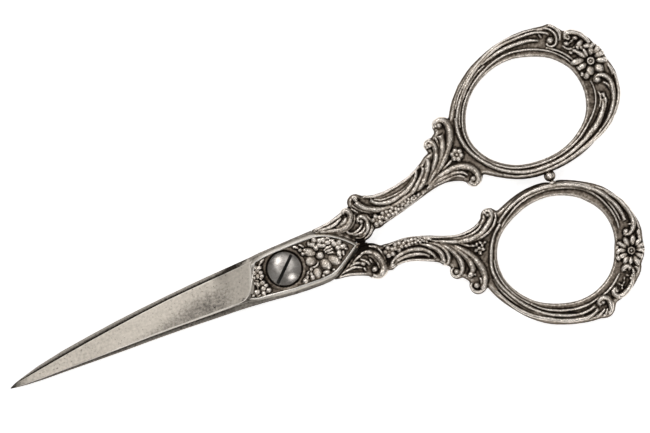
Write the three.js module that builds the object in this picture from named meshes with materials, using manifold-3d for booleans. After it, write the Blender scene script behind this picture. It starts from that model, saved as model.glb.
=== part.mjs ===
// Antique embroidery scissors: two steel blades on one slotted pivot screw, with cast
// flower panels at the pivot and ornamental scrolled handles, each struck as two shells
// that close round the blade's tang.
//
// Frame: origin on the pivot axis at the flat end of the screw, +X from the pivot to the
// handles along the closed blades, +Y to the upper handle, +Z out of the front face. mm.
import * as THREE from 'three';
import Module from 'manifold-3d';

const wasm = await Module();
wasm.setup();
const { Manifold, Mesh } = wasm;

// Driving sizes
const bladeLength = 50.7;
const plateThickness = 1.65;
const runningGap = 0.1;
const bladeTipThickness = 0.45;
const bladeRootThickness = 1.45;
const edgeThickness = 0.14;
const rimSink = 0.08;
const rimWidth = 0.28;
const rimSlope = 0.62;
const panelThickness = 0.25;
const panelRelief = 0.42;
const collarWidth = 0.5;
const reliefHeight = 0.5;
const shoulderDrop = 0.5;
const shoulderInset = 0.42;
const shankLength = 37.4;
const upperBowLength = 21.3;
const upperBowWidth = 17.88;
const lowerBowLength = 20.47;
const lowerBowWidth = 18.5;
const screwHeadRadius = 2.85;
const screwHeadSide = 0.6;
const screwDome = 0.75;
const screwHeadClearance = 0.02;
const headGap = 0.25;
const shankRadius = 1.3;
const shankClearance = 0.05;
const slotWidth = 0.36;
const slotDepth = 0.5;
const slotAngle = 42;
const solderGap = 0.06;
const sideClearance = 0.25;
const tangThickness = 0.65;
const tangWidth = 2.0;
const tangFit = 0.08;
const beadRadius = 1.0;
const beadPegRadius = 0.5;
const stopPinRadius = 0.45;
const stopGap = 0.05;
const rosettePetals = 10;
const roundSegments = 48;

// The seam is the plane where the two halves ride on each other. Heights count from it.
const seam = plateThickness + runningGap / 2;
const handleGround = seam - reliefHeight;
const handleShoulder = handleGround - shoulderDrop;
const rimHeight = seam - rimSink;
const plateEdge = rimHeight - rimSlope;
const panelGround = rimHeight - panelRelief;
const panelFloor = panelGround - panelThickness;
const tangHalfWidth = tangWidth / 2;
const FRONT = 1;
const BACK = -1;

// A three.js geometry as a closed solid with its triangles facing out. Heights are measured
// from the seam, and the back half is built face down, so its heights run to -Z.
function solidOf(geometry, side = FRONT) {
  const position = geometry.attributes.position;
  const count = geometry.index ? geometry.index.count : position.count;
  const seen = new Map();
  const vertices = [];
  const triangles = [];
  const vertexAt = (i) => {
    const x = position.getX(i);
    const y = position.getY(i);
    const z = seam + side * position.getZ(i);
    const key = `${Math.round(x * 2e4)},${Math.round(y * 2e4)},${Math.round(z * 2e4)}`;
    if (!seen.has(key)) {
      seen.set(key, vertices.length / 3);
      vertices.push(x, y, z);
    }
    return seen.get(key);
  };
  for (let i = 0; i < count; i += 3) {
    const corner = [0, 1, 2].map((k) => vertexAt(geometry.index ? geometry.index.getX(i + k) : i + k));
    if (corner[0] === corner[1] || corner[1] === corner[2] || corner[2] === corner[0]) continue;
    triangles.push(corner);
  }
  const at = (v) => new THREE.Vector3(vertices[3 * v], vertices[3 * v + 1], vertices[3 * v + 2]);
  const volume = triangles.reduce((sum, [a, b, c]) => sum + at(a).dot(at(b).cross(at(c))) / 6, 0);
  if (volume < 0) triangles.forEach((corner) => corner.reverse());
  const mesh = new Mesh({
    numProp: 3,
    vertProperties: new Float32Array(vertices),
    triVerts: new Uint32Array(triangles.flat()),
  });
  return new Manifold(mesh);
}

function unite(solids) {
  return solids.reduce((all, one) => all.add(one));
}

function signedArea(loop) {
  return loop.reduce((sum, p, i) => {
    const q = loop[(i + 1) % loop.length];
    return sum + (p[0] * q[1] - q[0] * p[1]) / 2;
  }, 0);
}

function anticlockwise(loop) {
  return signedArea(loop) > 0 ? loop : [...loop].reverse();
}

// The loop moved outward by a distance, or inward when the distance is negative.
function offset(loop, distance) {
  const path = anticlockwise(loop);
  return path.map((p, i) => {
    const before = path[(i + path.length - 1) % path.length];
    const after = path[(i + 1) % path.length];
    const a = new THREE.Vector2(p[0] - before[0], p[1] - before[1]).normalize();
    const b = new THREE.Vector2(after[0] - p[0], after[1] - p[1]).normalize();
    const normal = new THREE.Vector2(a.y + b.y, -a.x - b.x).normalize();
    const open = Math.max(0.55, normal.x * a.y - normal.y * a.x);
    return [p[0] + (normal.x * distance) / open, p[1] + (normal.y * distance) / open];
  });
}

// A closed body through loops of equal length, each at its own height above the seam.
function stack(layers, side = FRONT) {
  const n = layers[0].loop.length;
  const points = [];
  const index = [];
  layers.forEach(({ loop, height }) => loop.forEach((p) => points.push(p[0], p[1], height)));
  for (let k = 0; k + 1 < layers.length; k += 1) {
    for (let i = 0; i < n; i += 1) {
      const j = (i + 1) % n;
      const low = k * n;
      const high = low + n;
      index.push(low + i, low + j, high + j, low + i, high + j, high + i);
    }
  }
  const cap = (k, flip) => {
    const contour = layers[k].loop.map((p) => new THREE.Vector2(p[0], p[1]));
    THREE.ShapeUtils.triangulateShape(contour, []).forEach((t) => {
      const turn = flip ? [t[0], t[2], t[1]] : t;
      index.push(...turn.map((v) => v + k * n));
    });
  };
  cap(0, true);
  cap(layers.length - 1, false);
  const geometry = new THREE.BufferGeometry();
  geometry.setAttribute('position', new THREE.Float32BufferAttribute(points, 3));
  geometry.setIndex(index);
  return solidOf(geometry, side);
}

function prism(loop, low, high, side = FRONT) {
  const path = anticlockwise(loop);
  return stack([{ loop: path, height: low }, { loop: path, height: high }], side);
}

function disc(radius, low, high, side = FRONT, x = 0, y = 0) {
  const geometry = new THREE.CylinderGeometry(radius, radius, high - low, roundSegments);
  geometry.rotateX(Math.PI / 2);
  geometry.translate(x, y, (low + high) / 2);
  return solidOf(geometry, side);
}

// An ornament bead: an ellipsoid turned about Z and sunk in the ground.
function bead([x, y, length, width, turn], ground, height, side) {
  const geometry = new THREE.SphereGeometry(1, 6, 4);
  geometry.rotateX(Math.PI / 2);
  geometry.scale(length, width, height);
  geometry.rotateZ(THREE.MathUtils.degToRad(turn ?? 0));
  geometry.translate(x, y, ground);
  return solidOf(geometry, side);
}

// An ornament rib: a tapered ridge swept along a smooth path on the ground.
function rib(points, widths, ground, height, side) {
  const curve = new THREE.CatmullRomCurve3(
    points.map((p) => new THREE.Vector3(p[0], p[1], 0)), false, 'centripetal');
  const steps = points.length;
  const rings = [];
  for (let i = 0; i <= steps; i += 1) {
    const t = i / steps;
    const at = curve.getPoint(t);
    const along = curve.getTangent(t);
    const span = t * (widths.length - 1);
    const k = Math.min(widths.length - 2, Math.floor(span));
    const half = THREE.MathUtils.lerp(widths[k], widths[k + 1], span - k);
    const rise = height * Math.min(1, 0.5 + half / 0.5);
    rings.push([
      [at.x - along.y * half, at.y + along.x * half, ground - 0.05],
      [at.x, at.y, ground - 0.4],
      [at.x + along.y * half, at.y - along.x * half, ground - 0.05],
      [at.x, at.y, ground + rise],
    ]);
  }
  const flat = rings.flat(2);
  const index = [];
  for (let i = 0; i < steps; i += 1) {
    for (let a = 0; a < 4; a += 1) {
      const b = (a + 1) % 4;
      index.push(i * 4 + a, i * 4 + b, i * 4 + 4 + b, i * 4 + a, i * 4 + 4 + b, i * 4 + 4 + a);
    }
  }
  const end = steps * 4;
  index.push(0, 2, 1, 0, 3, 2, end, end + 1, end + 2, end, end + 2, end + 3);
  const geometry = new THREE.BufferGeometry();
  geometry.setAttribute('position', new THREE.Float32BufferAttribute(flat, 3));
  geometry.setIndex(index);
  return solidOf(geometry, side);
}

// Blade stations: x, cutting edge, ridge, spine
const frontBladeStations = [
  [-50.7, -0.48, -0.56, -0.64], [-49.5, -0.14, -0.72, -0.86], [-48, 0.06, -0.86, -1.09],
  [-45, 0.42, -1.06, -1.38], [-40, 1.02, -1.2, -1.66], [-35, 1.58, -1.38, -1.98],
  [-30, 2.05, -1.5, -2.27], [-25, 2.5, -1.66, -2.5], [-20, 2.84, -1.89, -2.8],
  [-15, 3.02, -2.18, -3.18], [-10, 3.15, -2.42, -3.54], [-7, 3.25, -2.75, -3.82],
  [-4, 3.4, -3.0, -4.2],
];
const backBladeStations = [
  [-50.7, -0.62, -0.54, -0.46], [-49.5, -0.72, -0.3, 0.02], [-48, -0.8, 0.0, 0.42],
  [-45, -0.92, 0.5, 1.12], [-40, -1.1, 1.2, 1.92], [-35, -1.32, 1.65, 2.46],
  [-30, -1.52, 2.0, 2.94], [-25, -1.75, 2.3, 3.3], [-20, -2.0, 2.5, 3.58],
  [-15, -2.3, 2.65, 3.8], [-10, -2.55, 2.75, 3.94], [-7, -2.7, 2.8, 4.0],
  [-4, -2.9, 2.85, 4.06],
];

// A blade: flat on the seam side, thickest at its ridge, thin at its cutting edge.
function blade(stations, side) {
  const gap = runningGap / 2;
  const points = [];
  const index = [];
  const facing = stations[3][1] > stations[3][3];
  stations.forEach(([x, edge, ridge, spine]) => {
    const along = Math.min(1, Math.max(0, (x + 50.7) / 45.7));
    const thick = bladeTipThickness + (bladeRootThickness - bladeTipThickness) * along;
    const px = x > -10 ? x : -10 + (x + 10) * ((bladeLength - 10) / 40.7);
    const section = [
      [px, edge, gap], [px, edge, gap + edgeThickness], [px, ridge, gap + thick],
      [px, spine, gap + thick * 0.5], [px, spine, gap],
    ];
    if (!facing) section.reverse();
    points.push(...section.flat());
  });
  for (let i = 0; i + 1 < stations.length; i += 1) {
    for (let a = 0; a < 5; a += 1) {
      const b = (a + 1) % 5;
      const here = i * 5;
      const next = here + 5;
      index.push(here + a, next + b, here + b, here + a, next + a, next + b);
    }
  }
  const last = (stations.length - 1) * 5;
  for (let a = 1; a < 4; a += 1) {
    index.push(0, a, a + 1);
    index.push(last, last + a + 1, last + a);
  }
  const geometry = new THREE.BufferGeometry();
  geometry.setAttribute('position', new THREE.Float32BufferAttribute(points, 3));
  geometry.setIndex(index);
  const solid = solidOf(geometry, side);
  return solid;
}

// Pivot plate of each blade, and the panel that lies in its sunk field
const frontPlate = [
  [-8.2, -3.7], [-5, -4.06], [-2.5, -4.42], [0, -4.76], [2.5, -4.98], [5, -5.1], [6.4, -5.08],
  [7.2, -4.95], [8, -4.6], [9, -4.05], [10, -3.4], [11, -2.75], [12, -2.1], [13, -1.5],
  [13.45, -1.18], [13, -0.75], [12, 0.25], [11, 1.2], [10, 1.95], [9, 2.6], [8, 3.05], [7.2, 3.3],
  [6.9, 3.8], [6.6, 4.2], [3, 4.2], [0, 4.2], [-3, 4.16], [-5, 4.04], [-6, 3.7], [-7, 3.28],
  [-6.2, 2.6], [-5.4, 2], [-5.5, 1.4], [-6.1, 0.3], [-6.7, -0.9], [-7.4, -1.8], [-8.4, -2.3],
];
const backPlate = [
  [-8.2, 3.5], [-8.4, 2.3], [-7.4, 1.8], [-6.7, 0.9], [-6.1, -0.3], [-5.5, -1.4], [-5.4, -2],
  [-6.2, -2.4], [-7, -2.7], [-6, -3.3], [-5, -3.85], [-3, -4.1], [0, -4.5], [2.5, -4.75],
  [5, -4.85], [6.6, -4.75], [7.2, -4.35], [8, -3.95], [9, -3.5], [10, -2.9], [11, -2.2], [12, -1.4],
  [12.7, -0.85], [13.3, -0.25], [13, 0.3], [12, 1.15], [11, 1.9], [10, 2.6], [9, 3.25], [8, 3.75],
  [7, 4.0], [5, 4.08], [0, 4.08], [-5, 4.0],
];
const frontPanel = [
  [-4.5, 2.5], [-4, 2.85], [-2, 3.05], [0, 3.1], [3, 3.08], [6, 2.95], [7.3, 2.7], [8.4, 2.28],
  [9.4, 1.72], [10.3, 1.08], [11.2, 0.28], [12, -0.55], [12.4, -1.05], [11.8, -1.45], [11, -1.95],
  [10, -2.55], [9, -3.15], [8, -3.62], [7, -3.88], [5, -3.95], [2.5, -3.78], [0, -3.6],
  [-2, -3.3], [-4, -3], [-6, -2.7], [-7, -2.42], [-6.5, -1.8], [-6.05, -1.05], [-5.45, 0],
  [-4.9, 1.25],
];
const backPanel = frontPanel.map(([x, y]) => [x, -y * 0.92 - 0.12]);

// A blade with its pivot plate, sunk field, screw hole and tang
function bladePiece(stations, plate, panel, tang, side) {
  const gap = runningGap / 2;
  const flat = prism(plate, gap, plateEdge, side);
  const rim = stack([
    { loop: offset(panel, rimWidth + rimSlope * 0.9), height: plateEdge - 0.1 },
    { loop: offset(panel, rimWidth), height: rimHeight },
  ], side);
  const body = flat.add(rim.intersect(prism(plate, gap, rimHeight + 1, side)));
  const field = prism(offset(panel, solderGap), panelFloor, seam + 2, side);
  const strip = prism(tang, gap, gap + tangThickness, side);
  const hole = disc(shankRadius + shankClearance, -seam - 1, seam + 2, side);
  return blade(stations, side).add(body).subtract(field).add(strip).subtract(hole);
}

function strip(from, to, half, tip) {
  const along = new THREE.Vector2(to[0] - from[0], to[1] - from[1]).normalize();
  return [
    [from[0] + along.y * half, from[1] - along.x * half],
    [to[0] + along.y * tip, to[1] - along.x * tip],
    [to[0] - along.y * tip, to[1] + along.x * tip],
    [from[0] - along.y * half, from[1] + along.x * half],
  ];
}
const frontTang = strip([9.6, 0.55], [21, 3.4], tangHalfWidth, tangHalfWidth * 0.7);
const backTang = strip([9.4, -1.6], [20.5, -4.9], tangHalfWidth, tangHalfWidth * 0.7);
const frontTangPocket = strip(
  [9.6, 0.55], [21.1, 3.43], tangHalfWidth + tangFit, tangHalfWidth * 0.7 + tangFit);
const backTangPocket = strip(
  [9.4, -1.6], [20.6, -4.93], tangHalfWidth + tangFit, tangHalfWidth * 0.7 + tangFit);

// Flower, buds and berries on the panel: x, y, half length, half width, turn in degrees
const flowerBoss = [6.44, -0.25, 0.66, 0.66, 0];
const flowerPetals = [
  [4.95, 0.95, 0.85, 0.6, -35], [4.7, -0.7, 0.85, 0.6, 15], [5.0, -2.6, 1.0, 0.55, 75],
  [6.75, -2.3, 1.15, 0.7, -75], [8.3, -1.9, 1.0, 0.65, -45], [8.5, 0.1, 1.1, 0.5, 5],
  [8.6, 1.6, 0.95, 0.5, 20], [6.7, 1.75, 1.1, 0.65, 85], [9.9, 0.3, 0.9, 0.55, -20],
  [10.0, -1.4, 0.75, 0.45, 50],
];
const panelBuds = [
  [-3.9, 2.3, 0.6, 0.35, 35], [-4.35, 1.2, 0.6, 0.45, -25], [-5.1, -0.2, 0.6, 0.35, -60],
  [-4.5, -1.4, 0.65, 0.45, 20], [-5.6, -2.1, 0.7, 0.45, 0], [-4.0, -2.4, 0.45, 0.35, 60],
  [2.85, -3.2, 0.45, 0.4, 0], [3.9, -3.1, 0.4, 0.38, 0], [3.5, 2.5, 0.55, 0.3, -30],
  [4.25, 2.5, 0.5, 0.25, -50],
];

function panelPiece(panel, flip, side) {
  const path = anticlockwise(panel);
  const flowers = flip ? [flowerBoss, ...flowerPetals] : [flowerBoss, ...flowerPetals, ...panelBuds];
  const ground = prism(path, panelFloor, panelGround, side);
  const opening = screwHeadRadius + headGap;
  const relief = flowers.map(([x, y, a, b, turn]) => {
    const placed = flip ? [x, -y * 0.92 - 0.12, a, b, -turn] : [x, y, a, b, turn];
    return bead(placed, panelGround - 0.05, panelRelief, side);
  });
  const collar = disc(opening + collarWidth, panelFloor, panelGround + panelRelief * 0.6, side);
  const shape = prism(offset(panel, -0.04), panelFloor, seam + 2, side);
  const raised = unite([collar, ...relief]).intersect(shape);
  const hole = disc(opening, panelFloor - 1, seam + 3, side);
  return ground.add(raised).subtract(hole);
}

// Handle outlines, from the pivot plate along the shank and round the bow
const upperOutline = [
  [6.6, 4.2], [8, 4.24], [10, 4.4], [12.05, 4.9], [12.7, 5.2], [13.5, 5.37], [14, 5.35],
  [14.1, 6.1], [14.4, 6.6], [14.9, 6.95], [15.5, 7.07], [16.1, 6.95], [16.6, 6.5], [17, 6.18],
  [17.5, 6.12], [18, 5.82], [18.9, 5.6], [20.8, 5.5], [22.9, 5.73], [25.3, 6.2], [27, 6.9],
  [28.2, 7.5], [29.1, 8.15], [29.6, 8.35], [30.1, 8.5], [29.95, 9.1], [29.85, 9.7], [30, 10.2],
  [30.35, 10.6], [30.8, 10.75], [31.6, 10.7], [31.9, 10.95], [32.3, 11.15], [32.45, 11.5],
  [32.4, 12.1], [32.6, 12.85], [32.95, 13.25], [33.4, 13.4], [33.9, 13.42], [34.4, 13.3],
  [34.85, 13], [35.2, 12.68], [35.55, 12.62], [36.5, 14.1], [37.2, 15.05], [38.1, 16], [39.2, 17.1],
  [40.4, 17.95], [41.5, 18.7], [42.6, 19.3], [44.3, 20], [45.6, 20.45], [47.2, 20.92], [48.9, 21.2],
  [51, 21.4], [53, 21.36], [54.96, 21.06], [56.3, 20.8], [57.2, 20.8], [57.8, 20.5], [58.4, 19.86],
  [58.8, 19.2], [59.15, 18.72], [60.1, 18.36], [60.84, 18], [61.56, 17.46], [62.3, 16.7],
  [62.9, 15.7], [63.15, 14.9], [63.5, 14.4], [63.9, 13.8], [64.1, 12.96], [64.25, 11.5],
  [64.6, 10.2], [64.8, 9], [64.7, 7.8], [64.5, 6.5], [64.1, 5.3], [63.6, 4.2], [62.8, 3.1],
  [61.9, 2.25], [60.96, 1.46], [60, 0.8], [58.8, 0.18], [57.6, -0.4], [56.4, -0.96], [55.2, -1.44],
  [54, -1.84], [52.8, -2.12], [51.6, -2.34], [50.4, -2.48], [48.9, -2.56], [47.5, -2.56],
  [46.4, -2.52], [45.5, -2.42], [44.3, -2.18], [43.2, -1.86], [42.1, -1.43], [40.9, -0.8],
  [39.9, -0.2], [39, 0.38], [38.1, 1.02], [37.5, 1.42], [37.2, 1.46], [36.97, 1.06], [36.6, 0.58],
  [36.06, 0.26], [35.4, 0.13], [34.75, 0.38], [34.3, 0.9], [34.1, 1.44], [33.7, 1.78], [33.1, 2.1],
  [32.3, 2.4], [31.5, 2.6], [30.7, 2.7], [29.6, 2.66], [28.5, 2.5], [27.5, 2.3], [26.4, 2.04],
  [25.3, 1.76], [24, 1.46], [22.1, 1], [20.8, 0.75], [19.7, 0.53], [18.6, 0.3], [18.1, 0.1],
  [17.5, 0.02], [16.8, 0.16], [16.4, -0.1], [15.9, -0.56], [15.25, -0.88], [14.4, -1.06],
  [13.6, -1.08], [11.5, -0.3], [8, 2], [6.5, 3.2],
];
const lowerOutline = [
  [13.6, -1.42], [14.4, -1.42], [15, -1.64], [15.6, -1.92], [16, -2.26], [16.4, -2.62], [16.7, -2.78],
  [17.3, -2.8], [18, -2.94], [19, -3], [20, -3.04], [20.8, -3.13], [21.6, -3.3], [22.5, -3.58],
  [23.5, -3.9], [24.8, -4.4], [26, -4.95], [27, -5.4], [28, -5.76], [28.7, -5.98], [29.5, -6.15],
  [30.5, -6.2], [31.5, -6.15], [32.3, -6], [33, -5.75], [33.6, -5.42], [34, -5.08], [34.08, -4.82],
  [34.28, -4.48], [34.6, -4.17], [35, -3.98], [35.4, -3.93], [35.9, -4.02], [36.3, -4.25],
  [36.6, -4.6], [36.85, -4.96], [37.2, -5], [38, -4.74], [39, -4.38], [40, -4.06], [41, -3.8],
  [42, -3.62], [43, -3.52], [44, -3.49], [45, -3.53], [46, -3.66], [46.6, -3.86], [47, -4.06],
  [47.6, -4.22], [48.2, -4.2], [49, -4.4], [50, -4.85], [51, -5.35], [52, -5.92], [53, -6.55],
  [54, -7.26], [55, -8.12], [55.6, -8.84], [56.1, -9.56], [56.6, -10.3], [57, -11], [57.4, -11.8],
  [57.7, -12.6], [58, -13.5], [58.2, -14.4], [58.36, -15.4], [58.44, -16.2], [58.42, -17],
  [58.3, -17.8], [58.06, -18.6], [57.82, -19.4], [57.75, -20], [57.62, -20.6], [57.4, -21.1],
  [57, -21.8], [56.4, -22.5], [56.02, -22.92], [55.88, -23.4], [55.5, -24], [55, -24.55],
  [54.4, -25.02], [53.9, -25.46], [53.3, -25.9], [52.6, -26.34], [51.8, -26.7], [51, -26.98],
  [50.2, -27.15], [49.7, -27.26], [49.4, -27.52], [49.1, -28], [48.8, -28.46], [48.3, -28.85],
  [47.8, -29.05], [47.2, -29.08], [46.6, -28.92], [46, -28.74], [45, -28.66], [44, -28.5],
  [43, -28.27], [42, -28], [41, -27.68], [40, -27.3], [39, -26.88], [38, -26.38], [37, -25.72],
  [36, -24.92], [35, -23.96], [34.2, -23.06], [33.5, -22.12], [32.7, -21], [32, -19.9], [31.4, -18.8],
  [31, -17.9], [30.7, -17], [30.52, -16.5], [30.25, -16.52], [29.9, -16.78], [29.4, -16.94],
  [28.9, -16.96], [28.4, -16.8], [28, -16.46], [27.75, -16], [27.65, -15.45], [27.75, -14.98],
  [28, -14.52], [28, -14.2], [27.72, -13.8], [27.42, -13.42], [27.15, -13.18], [26.8, -13.2],
  [26.3, -13.1], [25.86, -12.8], [25.6, -12.3], [25.56, -11.8], [25.75, -11.3], [26.02, -10.9],
  [25.92, -10.6], [25.6, -10.32], [25.2, -10.1], [24.9, -9.78], [24.68, -9.42], [24.4, -9.2],
  [24, -8.96], [23, -8.45], [22, -8], [21, -7.56], [20, -7.18], [19, -7.02], [18, -7.02],
  [17.4, -7.2], [16.9, -7.4], [16.5, -7.3], [16.2, -7.18], [15.8, -7.35], [15.2, -7.74],
  [14.6, -7.94], [14.1, -7.88], [13.5, -7.6], [13, -7.2], [12.7, -6.78], [12, -6.4], [11, -5.96],
  [10, -5.62], [9, -5.4], [8, -5.25], [7.2, -5.1], [6.7, -4.6], [8, -3.2], [11, -1.75],
];

// Finger openings of the two bows
const upperOpening = [
  [37.4, 8.3], [37.5, 9.5], [37.88, 10.75], [38.4, 11.95], [39.12, 13.15], [40, 14.25], [40.95, 15.15],
  [42.07, 15.95], [43.2, 16.58], [44.35, 17.05], [45.7, 17.45], [47.2, 17.7], [48.9, 17.75],
  [50.2, 17.58], [51.5, 17.2], [53, 16.66], [54.1, 16.16], [55.1, 15.58], [56, 14.86], [56.8, 14.02],
  [57.45, 13.15], [58, 12.2], [58.4, 11], [58.64, 9.7], [58.7, 8.3], [58.5, 6.9], [58.1, 5.6],
  [57.6, 4.55], [57, 3.65], [56.2, 2.8], [55.2, 2.02], [54.2, 1.36], [53.2, 0.85], [52, 0.4],
  [50.5, 0.02], [48.9, -0.13], [47.3, -0.12], [45.7, 0.06], [44.4, 0.32], [43.2, 0.7], [42.07, 1.25],
  [40.9, 2.02], [39.85, 2.92], [39, 3.9], [38.32, 4.95], [37.85, 5.95], [37.52, 7.05],
];
const lowerOpening = [
  [53.4, -12], [53.72, -13], [53.9, -14], [53.97, -15], [53.9, -16], [53.72, -16.9], [53.45, -17.75],
  [53, -18.7], [52.55, -19.7], [52.15, -20.5], [51.7, -21.2], [51, -22], [50.1, -22.8], [49, -23.48],
  [48, -23.94], [47, -24.28], [46, -24.49], [45, -24.58], [44, -24.56], [43, -24.43], [42, -24.2],
  [41, -23.9], [40, -23.5], [39, -23.03], [38, -22.46], [37, -21.73], [36, -20.72], [35.2, -19.7],
  [34.6, -18.72], [34.12, -17.75], [33.78, -16.8], [33.58, -15.9], [33.5, -15], [33.55, -14],
  [33.7, -13], [34, -12], [34.45, -11.05], [35, -10.15], [35.6, -9.45], [36.3, -8.82], [37, -8.3],
  [38, -7.72], [39, -7.25], [40, -6.85], [41, -6.51], [42, -6.27], [43, -6.13], [44, -6.08],
  [45, -6.1], [46, -6.22], [47, -6.47], [48, -6.82], [49, -7.28], [50, -7.88], [51, -8.68], [51.85, -9.6],
  [52.5, -10.4], [53, -11.2],
];

function span(loop, axis) {
  const values = loop.map((p) => p[axis]);
  return [Math.min(...values), Math.max(...values)];
}

// A longer shank moves the bow out. A longer or wider opening grows the whole bow away from
// the shank and from the other bow, so its walls keep their thickness.
function handlePlacer(opening, bowLength, bowWidth, side) {
  const [left, right] = span(opening, 0);
  const [low, high] = span(opening, 1);
  const longer = bowLength - (right - left);
  const wider = bowWidth - (high - low);
  const further = shankLength - span(upperOpening, 0)[0];
  const share = (value, from, to) => THREE.MathUtils.clamp((value - from) / (to - from), 0, 1);
  return ([x, y, ...rest]) => {
    const out = side > 0 ? share(y, low, high) : share(y, high, low);
    const onBow = share(x, left - 9, left - 2);
    const px = x + longer * share(x, left, right) + further * share(x, 18, 26);
    return [px, y + side * wider * out * onBow, ...rest];
  };
}
const placeUpper = handlePlacer(upperOpening, upperBowLength, upperBowWidth, 1);
const placeLower = handlePlacer(lowerOpening, lowerBowLength, lowerBowWidth, -1);

// Raised ornament of the upper handle: a path and its half widths along it
const upperRibs = [
  { path: [[8.4, 3.6], [9.6, 3.2], [11, 2.85], [12.05, 2.95], [12.8, 3.36], [13.4, 4], [13.75, 4.6],
    [13.4, 5]], widths: [0.15, 0.35, 0.4, 0.3] },
  { path: [[14.6, 2.6], [15, 3.05], [15.6, 2.9], [15.95, 2.2], [15.85, 1.2], [15.3, 0.4], [14.5, 0.1],
    [13.6, 0.4]], widths: [0.3, 0.4, 0.4, 0.2] },
  { both: true, path: [[15.4, 6], [16.1, 5.3], [17.2, 4.2], [18.3, 3.3], [19.7, 2.75],
    [20.9, 2.6], [22.4, 2.75],
    [24.3, 3.2], [26, 4], [27.4, 5.2], [28.2, 6.4]], widths: [0.5, 0.35, 0.32, 0.3, 0.2] },
  { both: true, path: [[17.9, 5.1], [19.3, 4.1], [20.7, 3.75], [22.4, 3.9], [24.3, 4.4],
    [25.9, 5.15], [26.9, 6.3]],
    widths: [0.35, 0.4, 0.4, 0.35, 0.2] },
  { path: [[26.2, 3.4], [27.5, 4.3], [28.5, 5.5], [29.3, 6.7], [29.6, 7.7]], widths: [0.2, 0.35, 0.3] },
  { path: [[28, 4], [29.1, 5], [30.2, 6.2], [31.1, 7.4], [31.5, 8.6], [31.35, 9.6], [30.8, 10]],
    widths: [0.2, 0.3, 0.35, 0.3] },
  { path: [[28.2, 3.75], [29.7, 4.9], [31, 6], [32.1, 7.3], [32.8, 8.6], [33, 9.8]],
    widths: [0.2, 0.3, 0.4, 0.3] },
  { both: true, path: [[28, 3.35], [29.5, 4.3], [31.2, 5.5], [32.6, 6.9], [33.8, 8.5],
    [34.7, 10.1], [35, 11.6],
    [34.3, 12.6], [33.6, 12.5]], widths: [0.2, 0.35, 0.4, 0.4, 0.3] },
  { both: true, path: [[28, 3.1], [29.6, 3.85], [31.5, 4.35], [33.4, 4.5], [35, 4.1], [36.1, 3.1],
    [36.4, 1.9],
    [35.9, 1], [35.2, 1]], widths: [0.2, 0.35, 0.4, 0.4, 0.3] },
  { both: true, path: [[36.7, 12.2], [36.2, 10.6], [36.05, 9], [36.3, 7.2], [37, 5.3],
    [38.1, 3.6], [39.5, 1.9],
    [41.2, 0.5], [43.4, -0.6], [45.6, -1.2], [48, -1.35], [50.4, -1.25], [52.8, -0.72], [55.2, 0.15],
    [57.5, 1.2], [59.4, 2.6], [60.8, 4.2], [61.2, 6]], widths: [0.3, 0.3, 0.3, 0.35, 0.35, 0.2] },
  { both: true, path: [[37, 12.4], [38.4, 14.4], [40.2, 16.35], [42.4, 18], [44.9, 19.3],
    [47.6, 20.3], [50.4, 20.7],
    [53.4, 20.6], [55.6, 19.95], [56.8, 19]], widths: [0.3, 0.35, 0.35, 0.3, 0.3] },
  { both: true, path: [[57.4, 0.2], [59.4, 1.3], [61.2, 2.7], [62.6, 4.3], [63.2, 6], [63, 7.6],
    [62, 9], [61.2, 8.8]],
    widths: [0.2, 0.3, 0.35, 0.35, 0.3] },
  { path: [[55.6, 17.8], [56.2, 17.1], [57.1, 17.1], [57.7, 17.9], [57.7, 19], [57, 20.2]],
    widths: [0.2, 0.35, 0.35, 0.3] },
  { path: [[59, 17.4], [59.5, 18], [60.6, 17.8], [61.6, 16.8], [62.3, 15.4]], widths: [0.3, 0.35, 0.2] },
];
const upperBeads = [
  [15.04, 2.2, 0.42, 0.42], [15.5, 6.3, 0.6, 0.45, 90], [13.4, 4.9, 0.4, 0.35],
  [17.8, 1.5, 0.85, 0.75], [19.3, 1.75, 0.7, 0.65], [20.75, 1.7, 0.55, 0.5], [22.1, 1.95, 0.5, 0.42],
  [23.4, 2.3, 0.45, 0.36], [24.6, 2.5, 0.4, 0.3], [30.6, 9.7, 0.55, 0.5], [33.4, 12.2, 0.62, 0.55],
  [35.4, 1.45, 0.5, 0.5], [34.4, 6.35, 0.45, 0.45], [34.4, 7.1, 0.45, 0.32, 90],
  [33.6, 6.4, 0.45, 0.32, 0], [34.2, 5.5, 0.45, 0.32, 90], [35.1, 5.7, 0.45, 0.32, 130],
  [35.2, 6.6, 0.45, 0.32, 20], [56.5, 18.2, 0.5, 0.5], [59.7, 17.1, 0.45, 0.4], [61.3, 8.7, 0.5, 0.5],
];
const upperRosette = [61.45, 12.25];

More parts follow.
